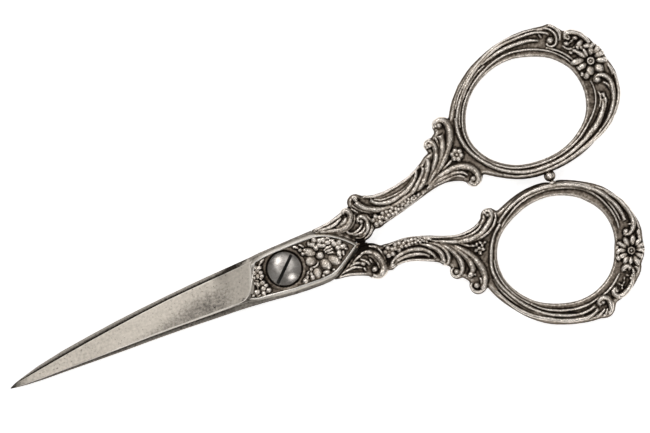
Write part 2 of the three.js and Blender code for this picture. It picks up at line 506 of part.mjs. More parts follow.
const lowerRibs = [
  { path: [[9.2, -4.6], [10.6, -4.42], [11.7, -4.55], [12.4, -5.05], [12.65, -5.7]],
    widths: [0.12, 0.3, 0.25] },
  { path: [[11.3, -3.5], [12.4, -3.05], [13.5, -3.02], [14.3, -3.6], [14.8, -4.5], [15.05, -5.6]],
    widths: [0.15, 0.35, 0.35, 0.25] },
  { both: true, path: [[13.6, -2.6], [14.5, -2.95], [15.3, -3.75], [15.8, -4.8], [15.95, -5.8],
    [15.6, -6.8],
    [14.8, -7.35], [13.9, -7.25], [13.5, -6.6]], widths: [0.2, 0.4, 0.42, 0.4, 0.25] },
  { both: true, path: [[17.4, -6.7], [18.4, -5.75], [20, -5.4], [21.6, -5.6], [23, -6.2],
    [24, -7.2], [24.3, -8.3]],
    widths: [0.35, 0.35, 0.35, 0.2] },
  { path: [[20, -4.85], [21.6, -4.85], [23.2, -5.3], [24.8, -6.4], [25.6, -7.6], [25.85, -9.1]],
    widths: [0.12, 0.25, 0.35, 0.3] },
  { both: true, path: [[25.2, -5.8], [26.4, -6.9], [27.4, -8.2], [28, -9.8], [27.95, -11.2], [27.2, -12.1],
    [26.5, -12]], widths: [0.2, 0.3, 0.35, 0.3] },
  { path: [[26.2, -6.3], [27.6, -7.7], [28.7, -9.3], [29.3, -11], [29.5, -12.6], [29.1, -13.5]],
    widths: [0.2, 0.32, 0.36, 0.3] },
  { both: true, path: [[27.2, -6.8], [28.8, -8.5], [30, -10.4], [30.8, -12.4], [30.95, -14.2],
    [30.2, -15.6],
    [29.2, -16.3], [28.5, -16]], widths: [0.2, 0.35, 0.4, 0.4, 0.3] },
  { both: true, path: [[26, -5.75], [27.6, -6.5], [29.4, -7.2], [31.2, -7.5], [33, -7.3],
    [34.8, -6.6], [35.9, -5.7],
    [35.9, -4.7], [35.2, -4.7]], widths: [0.2, 0.35, 0.42, 0.4, 0.3] },
  { both: true, path: [[36.4, -7], [34.9, -8.5], [33.6, -10.3], [32.7, -12.4], [32.3, -14.6], [32.5, -16.8],
    [33.3, -19], [34.6, -21.2], [36.3, -23.1], [38.4, -24.6], [40.8, -25.8], [43.4, -26.6],
    [45.6, -26.5], [46.7, -26.2]], widths: [0.2, 0.32, 0.32, 0.35, 0.35, 0.25] },
  { both: true, path: [[36.6, -7], [38.4, -5.8], [40.6, -4.9], [43.2, -4.42], [45.6, -4.5],
    [48, -5.02], [50.2, -5.85],
    [52.2, -7.05], [54, -8.7], [55.2, -10.5], [56, -12.5], [56.35, -14.7]],
    widths: [0.25, 0.35, 0.38, 0.4, 0.35, 0.3] },
  { both: true, path: [[55, -9], [56.2, -10.6], [57.1, -12.5], [57.6, -14.4], [57.5, -16], [56.8, -17.2],
    [55.8, -17.4]], widths: [0.15, 0.3, 0.35, 0.35, 0.3] },
  { path: [[46.8, -26.6], [47, -25.95], [47.8, -25.75], [48.5, -26.3], [48.6, -27.4], [48.2, -28.3]],
    widths: [0.25, 0.35, 0.4, 0.3] },
  { path: [[50.2, -25.2], [49.9, -26], [50.6, -26.5], [51.8, -26.2], [53, -25.4], [53.9, -24.2],
    [54.2, -22.9]], widths: [0.3, 0.35, 0.32, 0.2] },
];
const lowerBeads = [
  [14, -6.1, 0.5, 0.5], [12.6, -4.5, 0.4, 0.25, -30], [14, -4.5, 0.5, 0.25, -70],
  [17.5, -4.4, 0.85, 0.8], [19.2, -4.2, 0.7, 0.65], [20.6, -4.1, 0.55, 0.5], [21.85, -4.2, 0.42, 0.4],
  [23, -4.5, 0.45, 0.36, -20], [24.4, -5, 0.4, 0.3, -30], [26.6, -11.6, 0.55, 0.5], [28.75, -15.1, 0.7, 0.62],
  [25.6, -9.7, 0.5, 0.45], [28.7, -13, 0.45, 0.4], [35.2, -5.1, 0.42, 0.42], [31.6, -10.5, 0.4, 0.34, 80],
  [32.3, -10.1, 0.4, 0.32, -20], [31.2, -9.4, 0.4, 0.3, 30], [32, -8.95, 0.5, 0.28, 0],
  [47.4, -26.5, 0.5, 0.5], [50.3, -25.4, 0.5, 0.45], [53.4, -22.7, 0.65, 0.5, 20], [55.8, -16.6, 0.6, 0.5],
  [51.6, -24.9, 0.6, 0.4, 25],
];
const lowerRosette = [55.35, -20.2];

function rosette([x, y], petals, ground, side) {
  const parts = [bead([x, y, 0.75, 0.75], ground, reliefHeight, side)];
  for (let i = 0; i < petals; i += 1) {
    const turn = (360 / petals) * i + 10;
    const angle = THREE.MathUtils.degToRad(turn);
    const at = [x + 1.55 * Math.cos(angle), y + 1.55 * Math.sin(angle), 0.78, 0.42, turn];
    parts.push(bead(at, ground - 0.02, reliefHeight * 0.85, side));
  }
  return unite(parts);
}

// One shell of a handle, from the seam out to the ornament on its face. The back shell
// repeats the main scrolls.
function shell({ outline, opening, ribs, beads, centre, place }, side) {
  const path = anticlockwise(outline.map(place));
  const scrolls = side === FRONT ? ribs : ribs.filter((one) => one.both);
  const body = stack([
    { loop: path, height: 0 },
    { loop: path, height: handleShoulder },
    { loop: offset(path, -shoulderInset), height: handleGround },
  ], side);
  const relief = scrolls.map(
    ({ path: line, widths }) => rib(line.map(place), widths, handleGround, reliefHeight, side));
  relief.push(rosette(place(centre), side === FRONT ? rosettePetals : 0, handleGround, side));
  if (side === FRONT) {
    relief.push(...beads.map((one) => bead(place(one), handleGround - 0.02, reliefHeight, side)));
  }
  const bounds = prism(offset(path, -0.03), 0.05, seam + 3, side);
  const hole = anticlockwise(opening.map(place));
  const finger = stack([
    { loop: hole, height: -1 },
    { loop: hole, height: handleShoulder },
    { loop: offset(hole, shoulderInset), height: handleGround },
    { loop: offset(hole, shoulderInset + 0.1), height: seam + 3 },
  ], side);
  return body.add(unite(relief).intersect(bounds)).subtract(finger);
}

const upperHandle = {
  outline: upperOutline,
  opening: upperOpening,
  ribs: upperRibs,
  beads: upperBeads,
  centre: upperRosette,
  place: placeUpper,
};
const lowerHandle = {
  outline: lowerOutline,
  opening: lowerOpening,
  ribs: lowerRibs,
  beads: lowerBeads,
  centre: lowerRosette,
  place: placeLower,
};

// Stop bead between the bows, on a peg in the upper bow, and the pin it closes on
const [beadX, beadY] = placeUpper([47.58, -3.08]);
const beadTurns = 20;

function ball(radius) {
  const geometry = new THREE.SphereGeometry(radius, beadTurns, 12);
  geometry.translate(beadX, beadY, 0);
  return solidOf(geometry);
}

function peg(radius, from, to) {
  const geometry = new THREE.CylinderGeometry(radius, radius, to - from, beadTurns);
  geometry.translate(beadX, (from + to) / 2, 0);
  return solidOf(geometry);
}

const pinTop = beadY - beadRadius - stopGap;
const stopBead = ball(beadRadius).add(peg(beadPegRadius, beadY, -1.5));
const stopPin = peg(stopPinRadius, -5.3, pinTop);
const beadSeat = ball(beadRadius + tangFit).add(peg(beadPegRadius + tangFit, beadY, -1.4));
const pinSeat = peg(stopPinRadius + tangFit, -5.4, pinTop + 1).add(ball(beadRadius + stopGap + 0.02));

// What is cut from each shell: its own plate, the other half's plate and the tang pocket
const farLow = -0.5;
const farHigh = seam + 3;
const frontSolder = prism(offset(frontPlate, solderGap), farLow, farHigh);
const frontClear = prism(offset(frontPlate, sideClearance), farLow, farHigh);
const backSolder = prism(offset(backPlate, solderGap), farLow, farHigh, BACK);
const backClear = prism(offset(backPlate, sideClearance), farLow, farHigh, BACK);
const pocketTop = runningGap / 2 + tangThickness + tangFit;
const frontPocket = prism(frontTangPocket, -0.5, pocketTop);
const backPocket = prism(backTangPocket, -0.5, pocketTop, BACK);
// Where the two handles part behind the plates' points
const upperParting = prism(
  [[12, 2.2], [12, -3], [14.3, -3], [13.75, 0.6], [13.3, 1.0]], farLow, farHigh, BACK);
const lowerParting = prism([[12.6, 2], [12.6, -1.3], [14.6, -1.42], [14.6, 2]], farLow, farHigh, BACK);

const upperFront = shell(upperHandle, FRONT).subtract(frontSolder).subtract(frontPocket).subtract(beadSeat);
const upperBack = shell(upperHandle, BACK).subtract(backClear).subtract(upperParting).subtract(beadSeat);
const lowerFront = shell(lowerHandle, FRONT).subtract(frontClear).subtract(pinSeat);
const lowerBack = shell(lowerHandle, BACK).subtract(backSolder).subtract(backPocket)
  .subtract(lowerParting).subtract(pinSeat);

const frontBlade = bladePiece(frontBladeStations, frontPlate, frontPanel, frontTang, FRONT);
const backBlade = bladePiece(backBladeStations, backPlate, backPanel, backTang, BACK);
const frontFlowers = panelPiece(frontPanel, false, FRONT);
const backFlowers = panelPiece(backPanel, true, BACK);

// Pivot screw: domed slotted head in the panel's ring, shank through to the back face
function pivotScrew() {
  const under = panelFloor + screwHeadClearance;
  const side = under + screwHeadSide;
  const profile = [
    [0, -seam], [shankRadius, -seam], [shankRadius, under], [screwHeadRadius, under],
    [screwHeadRadius, side], [screwHeadRadius * 0.93, side + screwDome * 0.35],
    [screwHeadRadius * 0.75, side + screwDome * 0.66], [screwHeadRadius * 0.45, side + screwDome * 0.91],
    [0, side + screwDome],
  ];
  const lathe = new THREE.LatheGeometry(profile.map((p) => new THREE.Vector2(p[0], p[1])), roundSegments);
  lathe.rotateX(Math.PI / 2);
  const slot = new THREE.BoxGeometry(2 * screwHeadRadius + 2, slotWidth, 2 * slotDepth);
  slot.rotateZ(THREE.MathUtils.degToRad(slotAngle));
  slot.translate(0, 0, side + screwDome);
  return solidOf(lathe).subtract(solidOf(slot));
}

const steel = new THREE.MeshStandardMaterial({ color: 0xcdc3b6, metalness: 1, roughness: 0.35 });
const silver = new THREE.MeshStandardMaterial({ color: 0xb9b0a2, metalness: 1, roughness: 0.3 });

function piece(name, solid, material) {
  const made = solid.getMesh();
  const geometry = new THREE.BufferGeometry();
  const places = [];
  for (let i = 0; i < made.vertProperties.length; i += made.numProp) {
    places.push(made.vertProperties[i], made.vertProperties[i + 1], made.vertProperties[i + 2]);
  }
  geometry.setAttribute('position', new THREE.Float32BufferAttribute(places, 3));
  geometry.setIndex([...made.triVerts]);
  geometry.computeVertexNormals();
  const mesh = new THREE.Mesh(geometry, material);
  mesh.name = name;
  return mesh;
}

const scissors = new THREE.Group();
scissors.name = 'embroidery_scissors';
scissors.add(
  piece('front_blade', frontBlade, steel),
  piece('front_flower_panel', frontFlowers, silver),
  piece('upper_handle_front_shell', upperFront, silver),
  piece('upper_handle_back_shell', upperBack, silver),
  piece('stop_bead', stopBead, silver),
  piece('back_blade', backBlade, steel),
  piece('back_flower_panel', backFlowers, silver),
  piece('lower_handle_front_shell', lowerFront, silver),
  piece('lower_handle_back_shell', lowerBack, silver),
  piece('stop_pin', stopPin, silver),
  piece('pivot_screw', pivotScrew(), steel),
);

export default scissors;
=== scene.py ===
# %% [markdown]
# # Antique embroidery scissors
# Two steel blades turn on one slotted screw, and their handles are struck in silver with
# scrolls, leaves and small flowers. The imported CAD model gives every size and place. This
# lesson dresses it: it adds the fine relief, the worn edges and the tarnish that the eye
# expects of such a pair.
# Distances on the workbench are in millimetres, because a remesh needs room for numbers
# below a tenth of a millimetre. Each piece is scaled to metres when it is finished.

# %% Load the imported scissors
import math

import bpy
import numpy as np
from mathutils import Matrix, Vector


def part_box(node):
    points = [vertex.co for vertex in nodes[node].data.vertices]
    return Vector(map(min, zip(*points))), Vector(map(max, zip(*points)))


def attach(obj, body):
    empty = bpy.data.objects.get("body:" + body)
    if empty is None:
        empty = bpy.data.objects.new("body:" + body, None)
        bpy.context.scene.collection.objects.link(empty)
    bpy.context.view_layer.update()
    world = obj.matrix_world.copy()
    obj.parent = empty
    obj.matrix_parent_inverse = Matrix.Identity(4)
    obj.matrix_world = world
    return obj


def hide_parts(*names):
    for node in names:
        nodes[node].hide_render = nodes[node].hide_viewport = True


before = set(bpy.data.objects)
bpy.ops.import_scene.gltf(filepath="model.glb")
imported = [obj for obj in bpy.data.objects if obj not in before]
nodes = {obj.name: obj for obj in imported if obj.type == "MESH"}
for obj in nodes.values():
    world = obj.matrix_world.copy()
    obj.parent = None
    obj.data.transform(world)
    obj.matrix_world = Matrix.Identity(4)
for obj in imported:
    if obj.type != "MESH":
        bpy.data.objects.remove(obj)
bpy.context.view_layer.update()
bpy.ops.object.select_all(action="DESELECT")

MM = 0.001
shell_low, shell_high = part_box("upper_handle_front_shell")
SEAM = shell_low.z / MM
RELIEF_TOP = shell_high.z / MM - SEAM
FRONT = 1
BACK = -1
print("seam", round(SEAM, 3), "mm, relief reaches", round(RELIEF_TOP, 3), "mm above it")

# %% [markdown]
# ## Camera
# The photograph looks straight down on the closed pair, which lies turned by 23 degrees. A
# long lens from a metre away keeps the outlines free of perspective.

# %% Camera above the scissors
PICTURE_WIDTH = 0.1105
PICTURE_CENTRE = (0.00979, 0.00545)
PICTURE_TURN = math.radians(-23)
CAMERA_HEIGHT = 1.0
eye = bpy.data.cameras.new("eye")
eye.sensor_width = 36
eye.lens = eye.sensor_width * CAMERA_HEIGHT / PICTURE_WIDTH
eye.clip_end = 50
camera = bpy.data.objects.new("eye", eye)
camera.location = (*PICTURE_CENTRE, CAMERA_HEIGHT)
camera.rotation_euler = (0, 0, PICTURE_TURN)
bpy.context.scene.collection.objects.link(camera)
bpy.context.scene.camera = camera
print("lens", round(eye.lens), "mm")

# %% [markdown]
# ## Studio
# Bright metal shows what surrounds it, so the studio is planned as a reflection. The sky is
# white, a soft lamp hangs on either side as on a copy stand, a ring of grey cards stands
# around the table, and one darker card rings the camera. Gentle slopes mirror the lamps,
# level ground mirrors the card above, steep slopes mirror the ring, and that draws every
# ridge. The cards are hidden from the camera.

# %% Sky and lamps
scene = bpy.context.scene
scene.view_settings.view_transform = "Standard"
sky = bpy.data.worlds.new("studio_sky")
sky.use_nodes = True
sky.node_tree.nodes["Background"].inputs["Color"].default_value = (1, 1, 1, 1)
sky.node_tree.nodes["Background"].inputs["Strength"].default_value = 1.0
scene.world = sky
LAMP_AIM = np.array((0.01, 0.0, 0.0))


def hang_lamp(name, place, size, watts):
    bpy.ops.object.light_add(type="AREA", location=place)
    lamp = bpy.context.object
    lamp.name = name
    lamp.data.size = size
    lamp.data.energy = watts
    toward = LAMP_AIM - np.array(place)
    tilt = math.atan2(math.hypot(toward[0], toward[1]), -toward[2])
    heading = math.atan2(toward[1], toward[0]) - math.pi / 2
    lamp.rotation_euler = (tilt, 0, heading)
    print(name, "tilted by", round(math.degrees(tilt)), "degrees")


hang_lamp("key_lamp", (-0.195, 0.60, 0.84), 0.40, 1.3)
hang_lamp("side_lamp", (0.065, -0.212, 0.284), 0.113, 0.11)


# %% Plain finishes and math nodes
def plain_finish(name, colour, rough):
    """A new material of one colour, with its node tree and its shader."""
    finish = bpy.data.materials.new(name)
    finish.use_nodes = True
    shade = finish.node_tree.nodes["Principled BSDF"]
    shade.inputs["Base Color"].default_value = (*colour, 1)
    shade.inputs["Roughness"].default_value = rough
    return finish, finish.node_tree, shade


def combine(tree, operation, *terms):
    """A math node; each term is another node's output or a plain number."""
    node = tree.nodes.new("ShaderNodeMath")
    node.operation = operation
    for socket, term in zip(node.inputs, terms):
        if isinstance(term, bpy.types.NodeSocket):
            tree.links.new(term, socket)
        else:
            socket.default_value = term
    return node.outputs[0]


# %% Cards and table
TABLE_GLOW = 0.75
CARD_ROUGHNESS = 0.9
TABLE_LEVEL = -0.00002


def keep_as(name, finish):
    """Names the object that was just added and paints it."""
    thing = bpy.context.object
    thing.name = name
    thing.data.materials.append(finish)
    return thing


grey_card = plain_finish("grey_card", (0.46, 0.455, 0.45), CARD_ROUGHNESS)[0]
dark_card = plain_finish("dark_card", (0.35, 0.345, 0.34), CARD_ROUGHNESS)[0]
pale_table, tree, shade = plain_finish("pale_table", (0.9, 0.9, 0.9), 0.8)
shade.inputs["Emission Color"].default_value = (1, 1, 1, 1)
path = tree.nodes.new("ShaderNodeLightPath")
direct = combine(tree, "MAXIMUM", path.outputs["Is Camera Ray"], path.outputs["Is Glossy Ray"])
seen = combine(tree, "MAXIMUM", direct, path.outputs["Is Transmission Ray"])
glow = combine(tree, "MULTIPLY", seen, TABLE_GLOW)
tree.links.new(glow, shade.inputs["Emission Strength"])

bpy.ops.mesh.primitive_cone_add(vertices=64, radius1=0.5, radius2=0.36, depth=0.58,
                                location=(0.05, 0.2, 0.31), end_fill_type="NOTHING")
cards = keep_as("dark_cards", grey_card)
bpy.ops.mesh.primitive_circle_add(vertices=64, radius=0.22, fill_type="NGON",
                                  location=(0.01, 0.005, 1.15))
camera_card = keep_as("camera_card", dark_card)
bpy.ops.mesh.primitive_plane_add(size=6, location=(0, 0, TABLE_LEVEL))
table = keep_as("table", pale_table)
cards.visible_camera = False
camera_card.visible_camera = False
print("studio: two lamps, a ring of cards, a card round the camera and a table")

# %% [markdown]
# ## Bench tools
# Ornament like this was cut into a steel die by hand, ridge by ridge. Here a ridge is a
# curve with a round bevel: its radius swells and tapers along the stroke, and most of the
# round lies sunk in the ground. Eyes, berries and petals are one pillow shape, stretched and
# turned, and the pillow of a petal is tilted so that it rises outward. All of them are
# joined to the plain CAD body and remeshed into one skin, which melts the joints as a
# casting does.

# %% Picking, joining, moving and editing
def pick(*pieces):
    bpy.ops.object.select_all(action="DESELECT")
    for piece in pieces:
        piece.select_set(True)
    bpy.context.view_layer.objects.active = pieces[0]


def join_all(*pieces):
    """Joins pieces into the first one and keeps its name."""
    pick(*pieces)
    bpy.ops.object.join()
    return bpy.context.object


def points_of(piece):
    flat = np.empty(len(piece.data.vertices) * 3, np.float32)
    piece.data.vertices.foreach_get("co", flat)
    return flat.reshape(-1, 3).astype(float)


def move_points(piece, points):
    piece.data.vertices.foreach_set("co", points.astype(np.float32).ravel())
    piece.data.update()


def edit_all(piece, *steps):
    """Runs (operator, settings) pairs in edit mode, each with everything selected."""
    pick(piece)
    bpy.ops.object.mode_set(mode="EDIT")
    for operator, settings in steps:
        bpy.ops.mesh.select_all(action="SELECT")
        operator(**settings)
    bpy.ops.object.mode_set(mode="OBJECT")


MERGE = (bpy.ops.mesh.remove_doubles, {"threshold": 0.002})
FACE_OUT = (bpy.ops.mesh.normals_make_consistent, {"inside": False})


# %% Putting pieces on the bench
def lay_on_bench(name, mesh):
    piece = bpy.data.objects.new(name, mesh)
    scene.collection.objects.link(piece)
    return piece


def bench_copy(node, name):
    """A copy of a CAD node on the bench, in millimetres, its loose triangles merged."""
    mesh = nodes[node].data.copy()
    mesh.materials.clear()
    mesh.transform(Matrix.Scale(1 / MM, 4))
    piece = lay_on_bench(name, mesh)
    pick(piece)
    if mesh.has_custom_normals:
        bpy.ops.mesh.customdata_custom_splitnormals_clear()
    edit_all(piece, MERGE)
    return piece


def bench_twin(piece, name):
    twin = piece.copy()
    twin.data = piece.data.copy()
    twin.name = name
    scene.collection.objects.link(twin)
    return twin


def apply_modifier(piece, kind, **settings):
    step = piece.modifiers.new(kind.lower(), kind)
    for key, value in settings.items():
        setattr(step, key, value)
    pick(piece)
    bpy.ops.object.modifier_apply(modifier=step.name)


def store_wear_and_shading(piece, value):
    """Stores a value for each point: 0 is rubbed bright, 1 is black with tarnish; some values are
    painted highlights and painted shade.
    """
    layer = piece.data.attributes.new("wear_and_shading", "FLOAT", "POINT")
    layer.data.foreach_set("value", np.array(value, np.float32))


# %% Ridges: tapered strokes with a round back
RELIEF_LIMIT = 0.48
TAPER_SHARE = 0.35


def ease(value):
    """A soft step from 0 to 1."""
    share = np.clip(value, 0, 1)
    return share * share * (3 - 2 * share)


def rise_of(half_width):
    """How far a ridge of this half width stands above its ground."""
    return min(RELIEF_LIMIT, 0.13 + 0.72 * half_width)


def fuller(half_width):
    """Struck ridges swell until they nearly touch; the finest lines stay fine."""
    if half_width >= 0.3:
        return 1.6 * half_width
    return half_width * (1.45 if half_width >= 0.24 else 1.2)


def taper(share, start, end):
    """Thickness along a stroke: from its start, over a full middle, to its end."""
    opening = start + (1 - start) * ease(share / TAPER_SHARE)
    closing = end + (1 - end) * ease((1 - share) / TAPER_SHARE)
    return opening * closing


def lay_ridges(name, strokes, ground, closed=False, lift=1.0):
    """Strokes are (half width, start share, end share, points), in millimetres."""
    bpy.ops.object.select_all(action="DESELECT")
    bpy.ops.object.add(type="CURVE")
    lines = bpy.context.object
    lines.name = name
    lines.data.dimensions = "3D"
    lines.data.twist_mode = "Z_UP"
    lines.data.bevel_depth = 1.0
    lines.data.bevel_resolution = 4
    lines.data.resolution_u = 5
    lines.data.use_fill_caps = True
    for order, (half_width, start, end, points) in enumerate(strokes):
        spline = lines.data.splines.new("BEZIER")
        spline.bezier_points.add(len(points) - 1)
        spline.use_cyclic_u = closed
        for k, (knot, (x, y)) in enumerate(zip(spline.bezier_points, points)):
            wide = fuller(half_width) * (1 if closed else taper(k / (len(points) - 1), start, end))
            wave = 1 if closed else 0.88 + 0.12 * math.sin(1.9 * k + 2.4 * order)
            rise = lift * wave * rise_of(wide)
            round_of = (wide * wide + rise * rise) / (2 * rise) if wide > rise else wide
            knot.co = (x, y, SEAM + ground + rise - round_of)
            knot.radius = round_of
            knot.handle_left_type = "AUTO"
            knot.handle_right_type = "AUTO"
    bpy.ops.object.convert(target="MESH")
    return bpy.context.object


# %% Drops: one pillow shape for eyes, berries and petals
PILLOW_FLATNESS = 0.36
PETAL_TILT = 0.3


def pillow(name, tilt=0.0):
    """A ball with a flattened top and steep sides; a tilted one is low where the petal starts."""
    bpy.ops.mesh.primitive_uv_sphere_add(segments=16, ring_count=12, radius=1)
    shape = bpy.context.object
    shape.name = name
    points = points_of(shape)
    reach = np.hypot(points[:, 0], points[:, 1])
    points[:, :2] *= (np.maximum(reach, 1e-6) ** -PILLOW_FLATNESS)[:, None]
    points[:, 2] *= np.where(points[:, 2] > 0, 1 - 0.5 * tilt * (1 - points[:, 0]), 1)
    move_points(shape, points)
    return shape


round_drop = pillow("round_drop")
tilted_petal = pillow("tilted_petal", PETAL_TILT)
print("pillow of", len(round_drop.data.vertices), "points")


def lay_drops(name, drops, ground, lift=1.0, shape=round_drop):
    """Drops are (x, y, half length, half width, turn in degrees); a petal's turn points outward."""
    laid = []
    for x, y, long, wide, turn in drops:
        top = ground + lift * min(RELIEF_LIMIT, 0.16 + 0.9 * wide)
        deep = max(0.4, wide)
        drop = bench_twin(shape, name)
        drop.location = (x, y, SEAM + top - deep)
        drop.rotation_euler = (0, 0, math.radians(turn))
        drop.scale = (long, wide, deep)
        laid.append(drop)
    pick(*laid)
    bpy.ops.object.transform_apply(location=True, rotation=True, scale=True)
    bpy.ops.object.join()
    return bpy.context.object


def swell(drops, share):
    """The same drops, longer and wider."""
    return [(x, y, share * long, share * wide, turn) for x, y, long, wide, turn in drops]


def floret(x, y, size, petals=5, turn=20):
    """A small round flower: an eye and a ring of petals."""
    drops = [(x, y, 0.3 * size, 0.3 * size, 0)]
    for k in range(petals):
        angle = math.radians(turn + 360 * k / petals)
        drops.append((x + 0.58 * size * math.cos(angle), y + 0.58 * size * math.sin(angle),
                      0.48 * size, 0.46 * size, math.degrees(angle)))
    return drops


def offset_loop(loop, distance):
    """A closed loop of points moved outward by a distance."""
    points = np.array(loop, float)
    along = np.roll(points, -1, 0) - np.roll(points, 1, 0)
    along /= np.linalg.norm(along, axis=1)[:, None]
    out = np.stack([along[:, 1], -along[:, 0]], 1)
    after = np.roll(points, -1, 0)
    if (points[:, 0] * after[:, 1] - after[:, 0] * points[:, 1]).sum() < 0:
        out = -out
    return [tuple(p) for p in points + out * distance]


# %% [markdown]
# ## Relief of the upper handle
# The shank carries a leaf at the blade, a volute, a long C-scroll over a row of florets, and
# a fan of acanthus that ends in curled knobs. The bow is a bundle of mouldings that part
# round a rosette. Each stroke below follows one ridge of the real handle.

# %% Upper shank
upper_shank = [
    (0.20, 1, 1, [(12.7, -0.9), (13.3, -1.08), (13.9, -1.1), (14.5, -1.05)]),
    (0.20, 0.6, 0.6, [(7.2, 3.98), (9, 4.08), (11, 4.32), (12.3, 4.66), (13, 4.98)]),
    (0.26, 0.4, 0.4, [(7.6, 3.62), (8.6, 3.57), (9.6, 3.47), (10.7, 3.57), (11.5, 3.84),
        (12.2, 4.16)]),
    (0.42, 0.3, 0.7, [(8, 3.3), (9.6, 2.85), (11, 2.45), (12.2, 2.45), (13.1, 2.9), (13.65, 3.6),
        (13.8, 4.3), (13.55, 4.85), (13.05, 5), (12.65, 4.75)]),
    (0.34, 0.3, 0.5, [(10.8, 2.95), (11.8, 3.05), (12.6, 3.4), (13.05, 3.95)]),
    (0.12, 0.4, 0.5, [(10, 2.2), (11.4, 1.85), (12.6, 1.9), (13.5, 2.3), (14.2, 3), (14.5, 3.8)]),
    (0.30, 0.8, 0.3, [(14.75, 2.35), (14.7, 2.75), (15.1, 3.05), (15.55, 2.95), (15.9, 2.5),
        (16, 1.76), (15.8, 1), (15.4, 0.4), (14.6, 0.1), (13.8, 0.15)]),
    (0.20, 0.5, 0.5, [(15.9, 3.3), (16.35, 2.8), (16.6, 2.1), (16.65, 1.5), (16.4, 0.7),
        (15.9, 0.02), (15.1, -0.5), (14.2, -0.75)]),
    (0.22, 0.5, 0.4, [(12.2, 1.7), (12.4, 1.25), (12.9, 1), (13.8, 1.05), (14.6, 1.4), (15.1, 1.8)]),
    (0.20, 0.5, 0.4, [(12.7, 0.95), (13.3, 0.6), (14, 0.5), (14.8, 0.7), (15.35, 1.2), (15.55, 1.8)]),
    (0.15, 0.5, 0.5, [(13.2, 0.05), (13.9, -0.25), (14.6, -0.2), (15.2, 0.05)]),
    (0.12, 0.6, 0.5, [(14.35, 4.95), (14.7, 4.5), (15.1, 3.95)]),
    (0.12, 0.6, 0.5, [(14.75, 5.3), (15.3, 4.5), (16, 3.8), (16.8, 3.25), (17.6, 2.85)]),
    (0.36, 0.9, 0.5, [(15.5, 5.6), (15.95, 4.8), (16.65, 4.05), (17.45, 3.5), (18.35, 3.05),
        (19.5, 2.72), (20.8, 2.56), (22.1, 2.64), (23.2, 2.96), (24.3, 3.25), (25.2, 3.6),
        (26, 4.1), (26.8, 4.75), (27.5, 5.4), (28, 6), (28.3, 6.6)]),
    (0.34, 0.6, 0.5, [(17.9, 5), (18.6, 4.2), (19.5, 3.75), (20.6, 3.5), (22.1, 3.55), (23.2, 3.75),
        (24.3, 4.1), (25.3, 4.6), (26.1, 5.2), (26.7, 5.9), (27, 6.5)]),
    (0.16, 0.5, 0.5, [(18.6, 4.85), (19.6, 4.35), (21, 4.2), (22.6, 4.25), (24.2, 4.6),
        (25.4, 5.15), (26.1, 5.75)]),
    (0.22, 0.6, 0.6, [(16.9, 5.95), (17.8, 5.6), (18.8, 5.34), (20.4, 5.22), (22.2, 5.38),
        (24, 5.68), (25.6, 6.08), (26.8, 6.55), (27.8, 7.1)]),
    (0.18, 0.6, 0.5, [(18.6, 0.62), (20.8, 1.02), (22.6, 1.42), (24, 1.75), (25.3, 2.05),
        (26.4, 2.3)]),
]
upper_shank_drops = [
    (15.1, 2.25, 0.36, 0.36, 0), (15.62, 6.15, 0.6, 0.36, 100), (17.5, 5.85, 0.32, 0.26, -20),
    *floret(17.66, 1.45, 1.08, 5), *floret(19.3, 1.66, 0.98, 5, 50), *floret(20.85, 1.78, 0.9, 5),
    *floret(22.15, 1.95, 0.78, 4, 30), *floret(23.2, 2.12, 0.7, 4, 70),
    *floret(24.1, 2.3, 0.64, 4, 20), *floret(24.95, 2.44, 0.56, 4, 60), (25.8, 2.66, 0.46, 0.3, 30),
]
print("upper shank:", len(upper_shank), "ridges")

# %% Upper fan of acanthus
upper_fan = [
    (0.40, 0.3, 0.5, [(25.8, 3.4), (26.4, 3.65), (27.5, 4.4), (28.3, 5.3), (28.9, 6.1), (29.4, 6.9),
        (29.6, 7.6)]),
    (0.34, 0.25, 0.8, [(27.6, 3.7), (28.4, 4.3), (29.3, 5.2), (30.2, 6.2), (31, 7.2), (31.4, 8.2),
        (31.5, 9), (31.35, 9.7), (30.9, 10.2), (30.4, 10.1), (30.2, 9.7), (30.4, 9.35)]),
    (0.20, 0.4, 0.6, [(30, 5.7), (31, 6.7), (31.7, 7.7), (32.1, 8.7), (32.25, 9.6), (32.2, 10.4)]),
    (0.42, 0.25, 0.9, [(28, 3.7), (29.6, 4.85), (30.8, 5.8), (31.8, 6.9), (32.5, 8), (32.9, 9),
        (33.05, 9.9), (33.05, 10.6)]),
    (0.42, 0.25, 0.7, [(28, 3.4), (29.4, 4.25), (30.8, 5.25), (32.05, 6.35), (33.1, 7.45),
        (34, 8.6), (34.65, 9.8), (34.95, 11), (34.8, 12.1), (34.2, 12.8), (33.5, 12.85),
        (33.05, 12.45), (33.05, 11.95)]),
    (0.18, 0.4, 0.4, [(29.6, 4.25), (30.7, 4.75), (31.7, 5.15), (33, 5.7), (33.5, 6)]),
    (0.42, 0.25, 0.7, [(27.5, 3), (28.5, 3.45), (29.6, 3.95), (30.7, 4.25), (31.7, 4.4),
        (32.8, 4.45), (33.9, 4.35), (34.9, 4), (35.75, 3.4), (36.25, 2.5), (36.3, 1.6),
        (35.95, 0.95), (35.35, 0.7), (34.85, 0.95), (34.75, 1.45)]),
    (0.28, 0.3, 0.5, [(28, 3), (29.1, 3.4), (30.2, 3.6), (31.4, 3.7), (32.4, 3.7), (33.4, 3.55),
        (34.3, 3.1), (34.8, 2.5)]),
    (0.22, 0.3, 0.5, [(28.8, 2.95), (30.2, 3.12), (31.7, 3.2), (32.8, 3.1), (33.6, 2.8), (34.2, 2.3)]),
]
upper_fan_drops = [
    (30.75, 9.6, 0.48, 0.46, 0), (33.55, 12.15, 0.58, 0.56, 0), (35.42, 1.55, 0.54, 0.52, 0),
    *floret(34.42, 6.35, 1.2, 6, 30),
]
print("upper fan:", len(upper_fan), "ridges")

